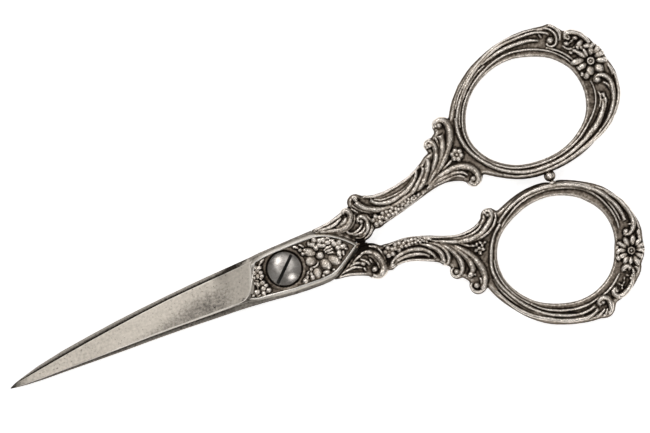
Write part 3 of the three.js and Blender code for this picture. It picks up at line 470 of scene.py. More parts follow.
# %% Upper bow
upper_opening = [
    (37.4, 8.3), (37.5, 9.5), (37.88, 10.75), (38.4, 11.95), (39.12, 13.15), (40, 14.25),
    (40.95, 15.15), (42.07, 15.95), (43.2, 16.58), (44.35, 17.05), (45.7, 17.45), (47.2, 17.7),
    (48.9, 17.75), (50.2, 17.58), (51.5, 17.2), (53, 16.66), (54.1, 16.16), (55.1, 15.58),
    (56, 14.86), (56.8, 14.02), (57.45, 13.15), (58, 12.2), (58.4, 11), (58.64, 9.7), (58.7, 8.3),
    (58.5, 6.9), (58.1, 5.6), (57.6, 4.55), (57, 3.65), (56.2, 2.8), (55.2, 2.02), (54.2, 1.36),
    (53.2, 0.85), (52, 0.4), (50.5, 0.02), (48.9, -0.13), (47.3, -0.12), (45.7, 0.06), (44.4, 0.32),
    (43.2, 0.7), (42.07, 1.25), (40.9, 2.02), (39.85, 2.92), (39, 3.9), (38.32, 4.95),
    (37.85, 5.95), (37.52, 7.05),
]
upper_bow = [
    (0.26, 0.9, 0.7, [(36.7, 12.1), (36.35, 10.9), (36.1, 9.7), (36.1, 8.3), (36.45, 6.6),
        (37.15, 5), (38.05, 3.6), (39.15, 2.25), (40.45, 1.05), (42.07, 0), (43.8, -0.8),
        (45.6, -1.22), (47.7, -1.38), (50.4, -1.26), (52, -0.96), (53.4, -0.54), (54.8, 0),
        (56.2, 0.54), (57.4, 1.14), (58.6, 1.85), (59.6, 2.76), (60.5, 3.75), (61.1, 4.7),
        (61.3, 5.7), (61, 6.4)]),
    (0.22, 0.9, 0.6, [(36.4, 11.1), (36.97, 12.3), (37.9, 13.8), (38.9, 15.05), (40.03, 16.2),
        (41.5, 17.4), (43.2, 18.5), (44.9, 19.3), (46.6, 20.03), (48.3, 20.45), (50, 20.6),
        (52.4, 20.55), (54.5, 20.3), (55.4, 19.98), (56.3, 19.5), (56.7, 19.1)]),
    (0.24, 0.4, 0.5, [(44.2, 18.75), (45.4, 19.1), (46.6, 19.4), (48.3, 19.7), (50, 19.75),
        (52, 19.6), (53.2, 19.4), (54, 19.1), (54.7, 18.8)]),
    (0.13, 0.8, 0.6, [(36.95, 8.3), (37.05, 9.6), (37.45, 11), (38, 12.25), (38.75, 13.5),
        (39.7, 14.6), (40.7, 15.55), (41.9, 16.45), (43.1, 17.15), (44.4, 17.75), (45.8, 18.25),
        (47.3, 18.6), (48.9, 18.75), (50.4, 18.6), (51.9, 18.25), (53.4, 17.7), (54.6, 17.1),
        (55.5, 16.55), (56.4, 15.8), (57.2, 14.95), (57.9, 14), (58.35, 13.1)]),
    (0.13, 0.5, 0.5, [(36.8, 10.4), (37, 11.2), (37.5, 12.35), (38.3, 13.7), (39.3, 14.9),
        (40.35, 15.95), (41.7, 17), (43.15, 17.9), (44.6, 18.45)]),
    (0.34, 0.25, 0.5, [(53.4, -0.3), (55.6, 0.42), (57, 1.1), (58.4, 1.9), (59.6, 3.0), (60.5, 4.2),
        (60.95, 5.4)]),
    (0.17, 0.2, 0.6, [(55.5, 17.1), (56.4, 16.45), (57.3, 15.65), (58.1, 14.7), (58.8, 13.6)]),
    (0.18, 0.4, 0.5, [(58.15, 16.3), (58.6, 15.7), (59.2, 15.35), (59.9, 15.35), (60.4, 15.75)]),
    (0.13, 0.8, 0.6, [(36.95, 8.3), (37.1, 7), (37.5, 5.7), (38.05, 4.6), (38.75, 3.55),
        (39.6, 2.55), (40.65, 1.65), (41.85, 0.85), (43, 0.28), (44.3, -0.12), (45.7, -0.4),
        (47.3, -0.57), (48.9, -0.6), (50.6, -0.45), (52.2, -0.08), (53.5, 0.35), (54.5, 0.8),
        (55.4, 1.3), (56.3, 1.95), (57.3, 2.75), (58.3, 3.65), (59.2, 4.7), (59.8, 5.8),
        (60.15, 6.9), (60.3, 8), (60.2, 9)]),
    (0.22, 0.4, 0.4, [(40.4, 0.15), (41.6, -0.6), (43.2, -1.3), (45.5, -1.8), (47.7, -1.98),
        (50.4, -1.88), (52.8, -1.45), (55.2, -0.75), (57, -0.06), (58.6, 0.7)]),
    (0.30, 0.3, 0.7, [(58.2, 0.55), (59.3, 1.15), (60.2, 1.75), (61, 2.5), (61.8, 3.35),
        (62.4, 4.2), (62.9, 5.3), (63.15, 6.4), (63.3, 7.4), (63.1, 8.4), (62.5, 9.15), (61.7, 9.4),
        (61.05, 9.1), (60.95, 8.6)]),
    (0.20, 0.4, 0.6, [(62.5, 4.9), (62.75, 5.8), (62.8, 6.8), (62.5, 7.6), (62.1, 8.0)]),
    (0.24, 0.5, 0.5, [(64.3, 9.8), (64.42, 8.2), (64.22, 6.6), (63.7, 5.0), (62.8, 3.6),
        (61.7, 2.4), (60.2, 1.1), (58.4, 0.1), (56.2, -0.7), (53.8, -1.4)]),
    (0.16, 0.5, 0.5, [(37.2, 13.6), (38.6, 15.4), (40.4, 17), (42.4, 18.4), (44.6, 19.6),
        (46.8, 20.5), (49, 21), (51.5, 21.1), (53.6, 21), (55, 20.75)]),
    (0.20, 0.7, 0.5, [(55.75, 17.75), (56, 17.2), (56.5, 16.95), (57.15, 17.1), (57.6, 17.7),
        (57.75, 18.5), (57.5, 19.3), (57, 19.95), (56.3, 20.4)]),
    (0.24, 0.6, 0.5, [(57.2, 20.5), (57.95, 19.9), (58.35, 19.1), (58.4, 18.2), (58.05, 17.4)]),
    (0.30, 0.7, 0.6, [(59.15, 17.2), (59.15, 17.75), (59.6, 18.08), (60.3, 18), (61, 17.6),
        (61.7, 16.9), (62.2, 16), (62.45, 15.1)]),
    (0.22, 0.6, 0.5, [(64, 10.5), (64.2, 9.6), (64.1, 8.6)]),
    (0.16, 0.6, 0.6, [(60.7, 6.9), (60.75, 6.1), (60.5, 5.3), (59.9, 4.4)]),
]
upper_bow_drops = [
    (56.55, 18.05, 0.66, 0.6, 0), (61.35, 8.75, 0.62, 0.56, 0), (55.25, 19.35, 0.45, 0.22, -70),
    (58.9, 16.45, 0.56, 0.36, -30), (60.6, 16.75, 0.5, 0.34, -30), (59.85, 16.5, 0.34, 0.26, 20),
    (59.75, 14.75, 0.6, 0.36, 140), (58.95, 14.75, 0.4, 0.26, 130), (60.35, 15.1, 0.42, 0.28, 100),
    (61.3, 6.0, 0.5, 0.34, 80), (61.3, 5.1, 0.6, 0.3, 75),
]


def ring(x, y, radius, count=14):
    """A round of points about a centre."""
    turns = [2 * math.pi * k / count for k in range(count)]
    return [(x + radius * math.cos(turn), y + radius * math.sin(turn)) for turn in turns]


UPPER_ROSETTE = (61.56, 12.15)
upper_rings = [(0.15, 1, 1, ring(*UPPER_ROSETTE, 0.5)), (0.12, 1, 1, ring(59.5, 17.3, 0.26))]
upper_petals = swell([
    (59.4, 12.95, 0.95, 0.46, 172), (59.9, 11.85, 0.62, 0.4, 190), (60.85, 10.72, 0.76, 0.6, 242),
    (62.4, 10.55, 0.76, 0.62, -62), (63.25, 11.6, 0.78, 0.42, -20), (63.3, 12.65, 0.72, 0.42, 8),
    (63.2, 13.5, 0.64, 0.42, 32), (62.25, 13.75, 0.62, 0.44, 62), (61.25, 13.85, 0.62, 0.26, 96),
    (60.45, 13.85, 0.8, 0.32, 126),
], 1.36)
upper_bow_drops += swell([
    (*UPPER_ROSETTE, 0.2, 0.18, 0), (59.95, 10.1, 0.52, 0.42, 40), (59.35, 10.65, 0.34, 0.24, 70),
    (60.9, 15.55, 0.66, 0.42, 35), (61.9, 14.75, 0.58, 0.34, -15), (62.65, 14.4, 0.55, 0.28, 20),
    (60.95, 14.85, 0.3, 0.22, 60), (59.2, 11.75, 0.4, 0.22, 110),
], 1.3)
print("upper bow:", len(upper_bow), "ridges and", len(upper_petals), "petals")

# %% [markdown]
# ## Relief of the lower handle
# The lower handle repeats the same motifs, but it isn't a mirror image: its leaf is fuller,
# its fan has four curled knobs, and its rosette has more and narrower petals.

# %% Lower shank
lower_shank = [
    (0.16, 1, 1, [(12.6, -1.55), (13.3, -1.45), (14, -1.44), (14.7, -1.56)]),
    (0.20, 0.3, 0.5, [(8.6, -4.6), (9.5, -4.48), (10.4, -4.42), (11.1, -4.45), (11.7, -4.7),
        (12.2, -5.0)]),
    (0.20, 0.3, 0.9, [(10.3, -4.02), (11.1, -3.92), (11.8, -3.95), (12.3, -4.15)]),
    (0.18, 0.4, 0.5, [(11.1, -3.65), (11.8, -3.28), (12.5, -3.05), (13.2, -2.92)]),
    (0.20, 0.5, 0.8, [(12.5, -3.6), (13, -4.0), (13.4, -4.5), (13.6, -5.0)]),
    (0.46, 0.3, 0.6, [(12.8, -2.85), (13.5, -2.74), (14.2, -2.95), (14.85, -3.5), (15.35, -4.25),
        (15.6, -5), (15.65, -5.8), (15.5, -6.6), (15.1, -7.1), (14.5, -7.35), (13.8, -7.25),
        (13.35, -6.9)]),
    (0.22, 0.4, 0.5, [(14.05, -3.5), (14.55, -4), (14.85, -4.7), (14.95, -5.5), (14.85, -6.3)]),
    (0.20, 0.6, 0.6, [(14.6, -2.05), (15.2, -2.35), (15.75, -2.68)]),
    (0.20, 0.5, 0.5, [(16, -3.1), (16.25, -3.9), (16.35, -4.8), (16.3, -5.7)]),
    (0.16, 0.5, 0.6, [(8, -5.0), (9.4, -5.14), (10.6, -5.44), (11.6, -5.82), (12.4, -6.22)]),
    (0.20, 0.5, 0.6, [(16.9, -3.05), (18.5, -3.2), (20, -3.3), (21.4, -3.5), (22.8, -3.95),
        (24.4, -4.6), (26, -5.22), (27.5, -5.8), (28.8, -6.22), (30, -6.42), (31.2, -6.42),
        (32.4, -6.2), (33.3, -5.8)]),
    (0.30, 0.7, 0.5, [(16.85, -6.8), (17.2, -6.3), (17.8, -5.9), (18.5, -5.6), (19.2, -5.45),
        (20, -5.4), (20.9, -5.45), (21.8, -5.7), (22.7, -6.05), (23.4, -6.6), (23.9, -7.2),
        (24.2, -7.7), (24.3, -8.3)]),
    (0.28, 0.7, 0.5, [(17.5, -6.6), (17.9, -6.35), (18.4, -6.17), (19, -6.1), (20, -6.15),
        (21, -6.3), (22, -6.6), (22.9, -7.1), (23.5, -7.7)]),
    (0.22, 0.6, 0.6, [(17.8, -6.85), (18.8, -6.82), (19.8, -6.95), (21, -7.3), (22, -7.72),
        (23, -8.16), (24, -8.66)]),
    (0.15, 0.5, 0.4, [(18.6, -5.2), (20, -4.88), (21, -4.82), (22, -4.92), (23, -5.2), (24, -5.6)]),
]
lower_shank_drops = [
    (12.55, -5.35, 0.42, 0.24, -75), (12.6, -4.42, 0.48, 0.34, -35), (14.02, -4.5, 0.5, 0.22, -80),
    (14.1, -6.05, 0.56, 0.52, 0), (13.6, -6.85, 0.3, 0.2, -60), (17.25, -6.75, 0.4, 0.34, 30),
    (24.6, -5.0, 0.46, 0.28, -30), *floret(17.5, -4.3, 1.12, 5), *floret(19.2, -4.08, 1.02, 5, 50),
    *floret(20.75, -4.08, 0.86, 5), *floret(22.0, -4.26, 0.74, 4, 30),
    *floret(23.05, -4.56, 0.64, 4, 70), *floret(23.95, -4.9, 0.54, 4, 10),
]
print("lower shank:", len(lower_shank), "ridges")

# %% Lower fan of acanthus
lower_fan = [
    (0.32, 0.3, 0.8, [(22.6, -5.05), (23.4, -5.5), (24.2, -6.1), (24.9, -6.8), (25.35, -7.6),
        (25.55, -8.5), (25.4, -9.2), (25.1, -9.55)]),
    (0.30, 0.3, 0.8, [(24, -5.4), (25.1, -6.1), (25.9, -6.95), (26.35, -7.8), (26.45, -8.7),
        (26.2, -9.5), (25.7, -9.9), (25.2, -9.8)]),
    (0.34, 0.25, 0.8, [(25, -5.75), (26, -6.6), (26.8, -7.5), (27.4, -8.4), (27.8, -9.3),
        (28, -10.3), (27.95, -11.2), (27.6, -12), (27.1, -12.4)]),
    (0.22, 0.9, 0.7, [(27.5, -11.7), (27.2, -12.3), (26.65, -12.6), (26.1, -12.42), (25.86, -11.9),
        (26, -11.35), (26.45, -11.1)]),
    (0.38, 0.25, 0.9, [(26, -6.2), (27, -7.1), (27.9, -8.1), (28.6, -9.1), (29.05, -10),
        (29.35, -10.8), (29.45, -11.6), (29.4, -12.4), (29.05, -13)]),
    (0.42, 0.25, 0.7, [(27, -6.7), (28, -7.6), (28.9, -8.7), (29.6, -9.7), (30.2, -10.8),
        (30.6, -11.9), (30.85, -13), (30.85, -14), (30.6, -15), (30.1, -15.8), (29.5, -16.25)]),
    (0.22, 0.9, 0.7, [(30.2, -15.6), (29.75, -16.2), (29.1, -16.48), (28.45, -16.25),
        (28.02, -15.7), (27.98, -15.1), (28.35, -14.6)]),
    (0.20, 0.4, 0.5, [(28.2, -7.3), (29.3, -7.9), (30.2, -8.6), (30.8, -9)]),
    (0.20, 0.4, 0.5, [(26.6, -5.75), (28, -6.35), (29, -6.75), (30, -6.95), (31, -7), (32, -6.9),
        (33, -6.6), (33.6, -6.2)]),
    (0.34, 0.3, 0.7, [(24.4, -5), (25, -5.45), (26, -6), (27, -6.5), (28, -6.95), (29, -7.3),
        (30, -7.55), (31, -7.68), (32, -7.65), (33, -7.45), (34, -7), (34.9, -6.4), (35.6, -5.7),
        (35.85, -5), (35.65, -4.5), (35.15, -4.4), (34.8, -4.75)]),
    (0.22, 0.4, 0.5, [(30.5, -8.1), (32, -8.2), (33, -8.12), (34, -7.88), (35, -7.4), (35.8, -6.75),
        (36.35, -6), (36.55, -5.2)]),
    (0.18, 0.6, 0.6, [(29.95, -14.4), (29.9, -15.1), (29.5, -15.7)]),
]
lower_fan_drops = [
    (25.45, -9.3, 0.42, 0.38, 0), (26.68, -11.82, 0.46, 0.44, 0), (28.75, -13.25, 0.58, 0.54, 0),
    (28.9, -15.35, 0.52, 0.5, 0), (35.25, -5.1, 0.36, 0.34, 0), (29.4, -13.6, 0.22, 0.2, 0),
    (31.6, -10.5, 0.4, 0.34, 80), (32.3, -10.1, 0.42, 0.3, -20), (31.1, -9.85, 0.38, 0.3, 0),
    (31.75, -9.7, 0.34, 0.32, 20), (30.9, -8.9, 0.44, 0.26, -30), (31.6, -8.95, 0.4, 0.26, 60),
    (32.3, -8.95, 0.42, 0.26, -60), (33.05, -9.15, 0.36, 0.24, 20), (32.4, -9.5, 0.32, 0.26, 0),
]
print("lower fan:", len(lower_fan), "ridges")

# %% Lower bow
lower_opening = [
    (53.4, -12), (53.72, -13), (53.9, -14), (53.97, -15), (53.9, -16), (53.72, -16.9),
    (53.45, -17.75), (53, -18.7), (52.55, -19.7), (52.15, -20.5), (51.7, -21.2), (51, -22),
    (50.1, -22.8), (49, -23.48), (48, -23.94), (47, -24.28), (46, -24.49), (45, -24.58),
    (44, -24.56), (43, -24.43), (42, -24.2), (41, -23.9), (40, -23.5), (39, -23.03), (38, -22.46),
    (37, -21.73), (36, -20.72), (35.2, -19.7), (34.6, -18.72), (34.12, -17.75), (33.78, -16.8),
    (33.58, -15.9), (33.5, -15), (33.55, -14), (33.7, -13), (34, -12), (34.45, -11.05),
    (35, -10.15), (35.6, -9.45), (36.3, -8.82), (37, -8.3), (38, -7.72), (39, -7.25), (40, -6.85),
    (41, -6.51), (42, -6.27), (43, -6.13), (44, -6.08), (45, -6.1), (46, -6.22), (47, -6.47),
    (48, -6.82), (49, -7.28), (50, -7.88), (51, -8.68), (51.85, -9.6), (52.5, -10.4), (53, -11.2),
]
lower_bow = [
    (0.24, 0.7, 0.6, [(36.6, -7.3), (35.2, -8.4), (34.2, -9.6), (33.4, -11), (32.75, -12.5),
        (32.35, -14), (32.35, -15.4), (32.6, -16.8), (33.2, -18.3), (34, -19.9), (35.1, -21.6),
        (36.5, -23.2), (38.2, -24.6), (40, -25.6), (41.6, -26.25), (43, -26.65), (44.2, -26.72),
        (45.2, -26.6), (46, -26.4)]),
    (0.13, 0.5, 0.5, [(31.9, -15.5), (32.2, -17.2), (32.85, -18.9), (33.8, -20.6), (35, -22.3),
        (36.5, -23.8), (38.3, -25.1), (40.2, -26.1), (42, -26.8), (43.6, -27.15)]),
    (0.13, 0.5, 0.6, [(33.3, -12.6), (33, -14), (33, -15.5), (33.25, -16.9), (33.75, -18.3),
        (34.4, -19.6), (35.2, -20.75), (36, -21.7)]),
    (0.18, 0.3, 0.5, [(36.2, -21.9), (37.6, -23.3), (39.4, -24.4), (41.4, -25.2), (43.4, -25.65),
        (45, -25.72), (46.4, -25.5), (47.4, -25.15)]),
    (0.26, 0.3, 0.6, [(31.6, -17.5), (32.3, -19.2), (33.3, -21), (34.7, -22.8), (36.4, -24.3),
        (38.4, -25.6), (40.4, -26.65), (42.4, -27.35), (44, -27.65), (45.2, -27.55), (46.3, -27.15)]),
    (0.20, 0.6, 0.6, [(45.6, -28.15), (46.6, -27.95), (47.4, -27.5)]),
    (0.30, 0.5, 0.7, [(36.4, -7.1), (38, -6), (39.6, -5.2), (41.4, -4.65), (43, -4.42),
        (44.4, -4.38), (46, -4.5), (48, -4.98), (50, -5.75), (52, -6.85), (53, -7.7), (54, -8.6),
        (54.7, -9.5), (55.2, -10.4), (55.65, -11.3), (56, -12.2), (56.25, -13.2), (56.35, -14.2),
        (56.3, -15)]),
    (0.18, 0.1, 0.6, [(36.7, -7.85), (37.6, -7.15), (38.7, -6.5), (40.2, -5.72), (42, -5.15),
        (44, -4.92), (46, -5.02), (48, -5.52), (50, -6.3), (52, -7.5), (53.6, -9.4), (54.5, -11.4),
        (54.95, -13.2), (55.05, -14.5), (54.9, -15.8)]),
    (0.12, 0.5, 0.5, [(52.7, -7.75), (54.2, -9.5), (55.05, -11.4), (55.48, -13.2), (55.6, -14.6)]),
    (0.30, 0.3, 0.7, [(54.4, -8.5), (55.4, -9.5), (56, -10.2), (56.55, -11), (57.05, -12),
        (57.4, -13), (57.6, -14), (57.65, -15), (57.5, -15.9), (57.05, -16.7), (56.4, -17.2),
        (55.7, -17.25), (55.25, -16.9)]),
    (0.20, 0.4, 0.5, [(54, -7.75), (55.2, -8.9), (56.3, -10.5), (57.2, -12.2), (57.8, -13.9),
        (58.05, -15.6), (58.05, -17.2)]),
    (0.32, 0.8, 0.9, [(52.85, -22.95), (52.9, -22.55), (53.3, -22.3), (53.8, -22.4), (54.05, -22.9)]),
    (0.22, 0.6, 0.5, [(54.35, -22.9), (54.3, -23.5), (53.95, -24.3), (53.6, -24.8)]),
    (0.20, 0.5, 0.5, [(54.9, -22.9), (55.15, -23.4), (55, -24)]),
    (0.32, 0.7, 0.5, [(50.55, -25.2), (50.1, -25.1), (49.85, -25.6), (50.15, -26.2), (50.9, -26.45),
        (51.8, -26.25), (52.7, -25.7), (53.4, -25), (53.8, -24.3)]),
    (0.14, 0.5, 0.5, [(48, -25.2), (49, -24.9), (50, -24.4), (51, -23.7), (52, -22.9)]),
    (0.34, 0.7, 0.6, [(47.1, -26.7), (46.85, -26.2), (47.2, -25.75), (47.9, -25.7), (48.45, -26.1),
        (48.6, -26.8), (48.5, -27.5), (48.2, -28.1), (47.7, -28.5)]),
    (0.18, 0.5, 0.5, [(46.7, -28.5), (47.3, -28.2), (47.8, -27.6)]),
]
lower_bow_drops = [
    (55.75, -16.7, 0.52, 0.42, 20), (57.6, -17.7, 0.55, 0.3, 70), (47.5, -26.4, 0.36, 0.34, 0),
    (50.45, -25.5, 0.3, 0.3, 0), (51.6, -24.95, 0.3, 0.26, 0), (52.1, -24.6, 0.28, 0.2, 40),
    (51.2, -24.5, 0.26, 0.18, 120), (51.4, -25.45, 0.26, 0.18, 80), (52.4, -24, 0.3, 0.18, 60),
    (57.4, -18.5, 0.32, 0.26, 60), (56.8, -15.85, 0.36, 0.2, -10), (56.4, -14.85, 0.34, 0.18, 0),
    (53.1, -23.75, 0.34, 0.22, -40), (53.85, -24.05, 0.3, 0.26, 0), (53.4, -24.4, 0.3, 0.18, 60),
    (47.5, -4.28, 0.6, 0.28, 0),
]
LOWER_ROSETTE = (55.35, -20.15)
lower_rings = [(0.14, 1, 1, ring(*LOWER_ROSETTE, 0.52))]
lower_petals = swell([
    (55.12, -18.55, 0.74, 0.38, 92), (56.2, -18.65, 0.76, 0.42, 62), (54.3, -18.75, 0.74, 0.32, 125),
    (53.85, -19.45, 0.64, 0.34, 158), (53.75, -20.4, 0.7, 0.36, 180), (53.95, -21.2, 0.64, 0.36, 212),
    (54.62, -21.6, 0.58, 0.3, 238), (55.45, -21.85, 0.8, 0.42, 270), (56.2, -21.3, 0.62, 0.34, -48),
    (56.78, -20.62, 0.66, 0.28, -24), (57.0, -19.95, 0.62, 0.26, 6), (56.9, -19.25, 0.62, 0.3, 34),
], 1.34)
lower_bow_drops += swell([
    (*LOWER_ROSETTE, 0.2, 0.18, 0), (52.85, -20.5, 0.4, 0.3, 80), (53.2, -19.5, 0.36, 0.24, 60),
    (53.95, -18.15, 0.34, 0.2, 20), (53.35, -18.75, 0.3, 0.18, 50),
], 1.3)
print("lower bow:", len(lower_bow), "ridges and", len(lower_petals), "petals")

# %% [markdown]
# ## Striking the shells
# A handle is two thin shells, back to back. The plain CAD shell gives the body: its CAD
# ridges are pressed flat, the fine relief is joined to it, and a voxel remesh makes one skin
# of both. A little smoothing softens it as years of handling do, and a faint noise gives the
# cast surface its grain. The same relief is turned over for the back shell.

# %% Relief of a handle as one stamp
GROUND = 1.2
BAND_INSET = 0.24
BAND_HALF_WIDTH = 0.22
BAND_SINK = 0.1


def relief_of(name, strokes, drops, petals, opening, rings):
    ridges = lay_ridges(name + "_ridges", strokes, GROUND)
    beads = lay_drops(name + "_drops", drops, GROUND)
    flower = lay_drops(name + "_petals", petals, GROUND, shape=tilted_petal)
    loops = [(BAND_HALF_WIDTH, 1, 1, offset_loop(opening, BAND_INSET))]
    band = lay_ridges(name + "_band", loops, GROUND - BAND_SINK, closed=True, lift=0.4)
    bosses = lay_ridges(name + "_boss", rings, GROUND, closed=True, lift=1.1)
    stamp = join_all(ridges, beads, flower, band, bosses)
    print(name, "stamp:", len(stamp.data.polygons), "faces")
    return stamp


upper_relief = relief_of("upper", upper_shank + upper_fan + upper_bow,
                         upper_shank_drops + upper_fan_drops + upper_bow_drops, upper_petals,
                         upper_opening, upper_rings)
lower_relief = relief_of("lower", lower_shank + lower_fan + lower_bow,
                         lower_shank_drops + lower_fan_drops + lower_bow_drops, lower_petals,
                         lower_opening, lower_rings)


# %% Melting joined parts into one skin
SKIN_GRAIN = 0.108
FLAT_SIDE_KEEP = 0.6
casting_grain = bpy.data.textures.new("casting_grain", "CLOUDS")
casting_grain.noise_scale = 0.42
casting_grain.noise_depth = 2


def turn_over(piece):
    """Mirrors a bench piece in the seam plane and turns its faces out again."""
    points = points_of(piece)
    points[:, 2] = 2 * SEAM - points[:, 2]
    move_points(piece, points)
    edit_all(piece, (bpy.ops.mesh.flip_normals, {}))


def hold_between(piece, low, high, side):
    """Presses every point into a range of heights over the seam."""
    points = points_of(piece)
    height = np.clip(side * (points[:, 2] - SEAM), low, high)
    points[:, 2] = SEAM + side * height
    move_points(piece, points)


def thin_flat_side(piece, level):
    """Collapses the many small faces of the hidden flat side at this level."""
    points = points_of(piece)
    flat = np.flatnonzero(np.abs(points[:, 2] - level) < 0.01)
    group = piece.vertex_groups.new(name="flat_side")
    group.add(flat.tolist(), 1.0, "REPLACE")
    apply_modifier(piece, "DECIMATE", ratio=FLAT_SIDE_KEEP, vertex_group="flat_side",
                   use_collapse_triangulate=True)
    piece.vertex_groups.clear()


def melt(piece, grain, floor, top, side, bumps):
    """Makes one worn skin of joined parts and keeps it between two heights over the seam."""
    apply_modifier(piece, "REMESH", mode="VOXEL", voxel_size=grain, use_smooth_shade=True)
    apply_modifier(piece, "SMOOTH", factor=0.5, iterations=2)
    thin_flat_side(piece, SEAM + side * floor)
    apply_modifier(piece, "DISPLACE", texture=casting_grain, strength=bumps, mid_level=0.5)
    hold_between(piece, floor, top, side)
    print(piece.name, len(piece.data.polygons), "faces")


# %% [markdown]
# ## Where tarnish settles
# Silver blackens everywhere, but cloths and fingers keep the ridges bright. So every point
# is compared with a smoothed copy of the skin: a point that lies below it is in a hollow, and
# one above it is on a ridge. Two smoothings, a tight one and a wide one, find both the fine
# lines and the broad dips. The value is stored on the points, and the finish reads it later.
# A few places of painted shadow, old grime and extra rubbing, seen on the real pair, are listed too.

# %% Measure the hollows
WIDE_SHARE = 0.35
RUB_HEIGHT = 0.2


def note_hollows_and_shade(piece, reach, depth, low=1.28, fade=0.3, low_value=0.62, rubbed=0.0, grime_and_shade=()):
    """Stores how deep each point lies among its neighbours, 0 on a ridge and 1 in a groove, with
    listed painted shadow, grime and rubbing added.
    """
    mesh = piece.data
    points = points_of(piece)
    count = len(points)
    pairs = np.empty(len(mesh.edges) * 2, np.int32)
    mesh.edges.foreach_get("vertices", pairs)
    a, b = pairs.reshape(-1, 2).T
    links = np.bincount(a, minlength=count) + np.bincount(b, minlength=count)
    normals = np.empty(count * 3, np.float32)
    mesh.vertex_normals.foreach_get("vector", normals)
    normals = normals.reshape(-1, 3)
    soft = points.copy()
    below = np.zeros(count)
    for step in range(1, reach + 1):
        around = [np.bincount(a, soft[b, k], count) + np.bincount(b, soft[a, k], count)
                  for k in range(3)]
        soft = 0.5 * soft + 0.5 * np.stack(around, 1) / np.maximum(links, 1)[:, None]
        if step in (reach // 6, reach):
            share = 1.0 if step < reach else WIDE_SHARE
            below += share * ((soft - points) * normals).sum(1)
    value = 0.5 + below / (2 * depth)
    height = np.abs(points[:, 2] - SEAM)
    sides = np.clip((low - height) / fade, 0, 1)
    value = np.maximum(value, low_value * sides) - rubbed * np.clip((height - low) / RUB_HEIGHT, 0, 1)
    for x, y, wide, amount in grime_and_shade:
        value += amount * np.exp(-((points[:, 0] - x) ** 2 + (points[:, 1] - y) ** 2) / wide ** 2)
    store_wear_and_shading(piece, np.clip(value, 0, 1))


# %% Painted shadow, old grime and rubbed places of the handles: x, y, radius, amount
# The first entries darken the handle at the crotch and along the plate's edge: painted shadow of the
# plate and the other handle, with tarnish.
upper_shade_and_grime = [
    (13.9, -1.1, 0.75, 0.9), (13.1, -0.5, 0.45, 0.5), (12.4, 0.2, 0.45, 0.4),
    (11.4, 1.1, 0.4, 0.35), (10.2, 2.05, 0.35, 0.3), (9, 2.8, 0.3, 0.3), (16.9, 1.2, 0.4, 0.2),
    (14.85, 6.1, 0.25, 0.25), (16.4, 6.0, 0.3, 0.35), (32.1, 2.9, 0.8, 0.1), (18.5, 1.1, 0.5, -0.1),
    (20.1, 1.3, 0.6, -0.1), (21.6, 1.5, 0.6, -0.1), (23.1, 1.8, 0.6, -0.1), (24.6, 2.1, 0.6, -0.1),
    (59.2, 9.6, 0.6, 0.1), (59.35, 8.2, 0.6, 0.12), (59.2, 6.8, 0.6, 0.12), (58.7, 5.4, 0.6, 0.1),
    (57.2, 15.2, 0.5, 0.1), (58.3, 13.4, 0.4, 0.1), (44, -1.55, 0.5, 0.08),
    (45.5, -1.85, 0.5, 0.08), (47, -2, 0.5, 0.1), (48.5, -2, 0.5, 0.1), (50, -1.95, 0.5, 0.08),
    (51.5, -1.7, 0.5, 0.08),
]
upper_shade_and_grime += [(x, 4.78 + 0.047 * (x - 21) ** 2, 0.35, -0.13) for x in np.arange(18.4, 26.3, 0.5)]
upper_shade_and_grime += [(x, y, 0.35, 0.09) for x, y in upper_opening[12:32]]
upper_shade_and_grime += [(x, y, 0.3, 0.13) for x, y in ring(*UPPER_ROSETTE, 0.9)]
# The entries along the plate's edge and near the crotch darken the handle: painted shadow of the plate
# and the other handle, with tarnish.
lower_shade_and_grime = [
    (14, -1.5, 0.7, 0.9), (13.2, -1.75, 0.55, 0.8), (12.3, -2.2, 0.5, 0.7), (11.4, -2.7, 0.5, 0.65),
    (10.5, -3.2, 0.45, 0.6), (9.6, -3.75, 0.4, 0.55), (8.8, -4.2, 0.35, 0.5),
    (13.5, -2.25, 0.5, 0.3), (14.3, -1.85, 0.5, 0.4), (16.7, -3.9, 0.4, 0.2),
    (16.6, -5.6, 0.4, 0.25), (15.3, -1.9, 0.4, 0.3), (18.3, -3.6, 0.5, -0.1),
    (20, -3.6, 0.6, -0.08), (21.5, -3.9, 0.6, -0.08), (22.8, -4.3, 0.5, -0.08),
    (53.9, -11.6, 0.5, 0.08), (54.3, -13.2, 0.5, 0.1), (54.45, -14.8, 0.5, 0.1),
    (54.4, -16.4, 0.5, 0.12), (53.9, -17.6, 0.4, 0.12), (14.6, -4.6, 1.6, 0.05),
    (20.5, -5.6, 1.8, 0.04), (24.2, -7.6, 1.8, 0.04),
]
lower_shade_and_grime += [(x, y, 0.35, 0.09) for x, y in lower_opening[3:24]]
lower_shade_and_grime += [(x, y, 0.34, 0.16) for x, y in ring(*LOWER_ROSETTE, 0.95)]
print("grime in", len(upper_shade_and_grime), "and", len(lower_shade_and_grime), "places")


# %% Strike the four shells
SKIN_BUMPS = 0.05


def strike_shell(name, relief, side, grime_and_shade):
    body = bench_copy(name + "_shell", name)
    hold_between(body, -np.inf, GROUND, side)
    stamp = bench_twin(relief, name + "_stamp")
    if side == BACK:
        turn_over(stamp)
    shell = join_all(body, stamp)
    hold_between(shell, 0.0, RELIEF_TOP - 0.005, side)
    melt(shell, SKIN_GRAIN, 0.0, RELIEF_TOP, side, SKIN_BUMPS)
    note_hollows_and_shade(shell, 36, 0.085, grime_and_shade=grime_and_shade)
    return shell


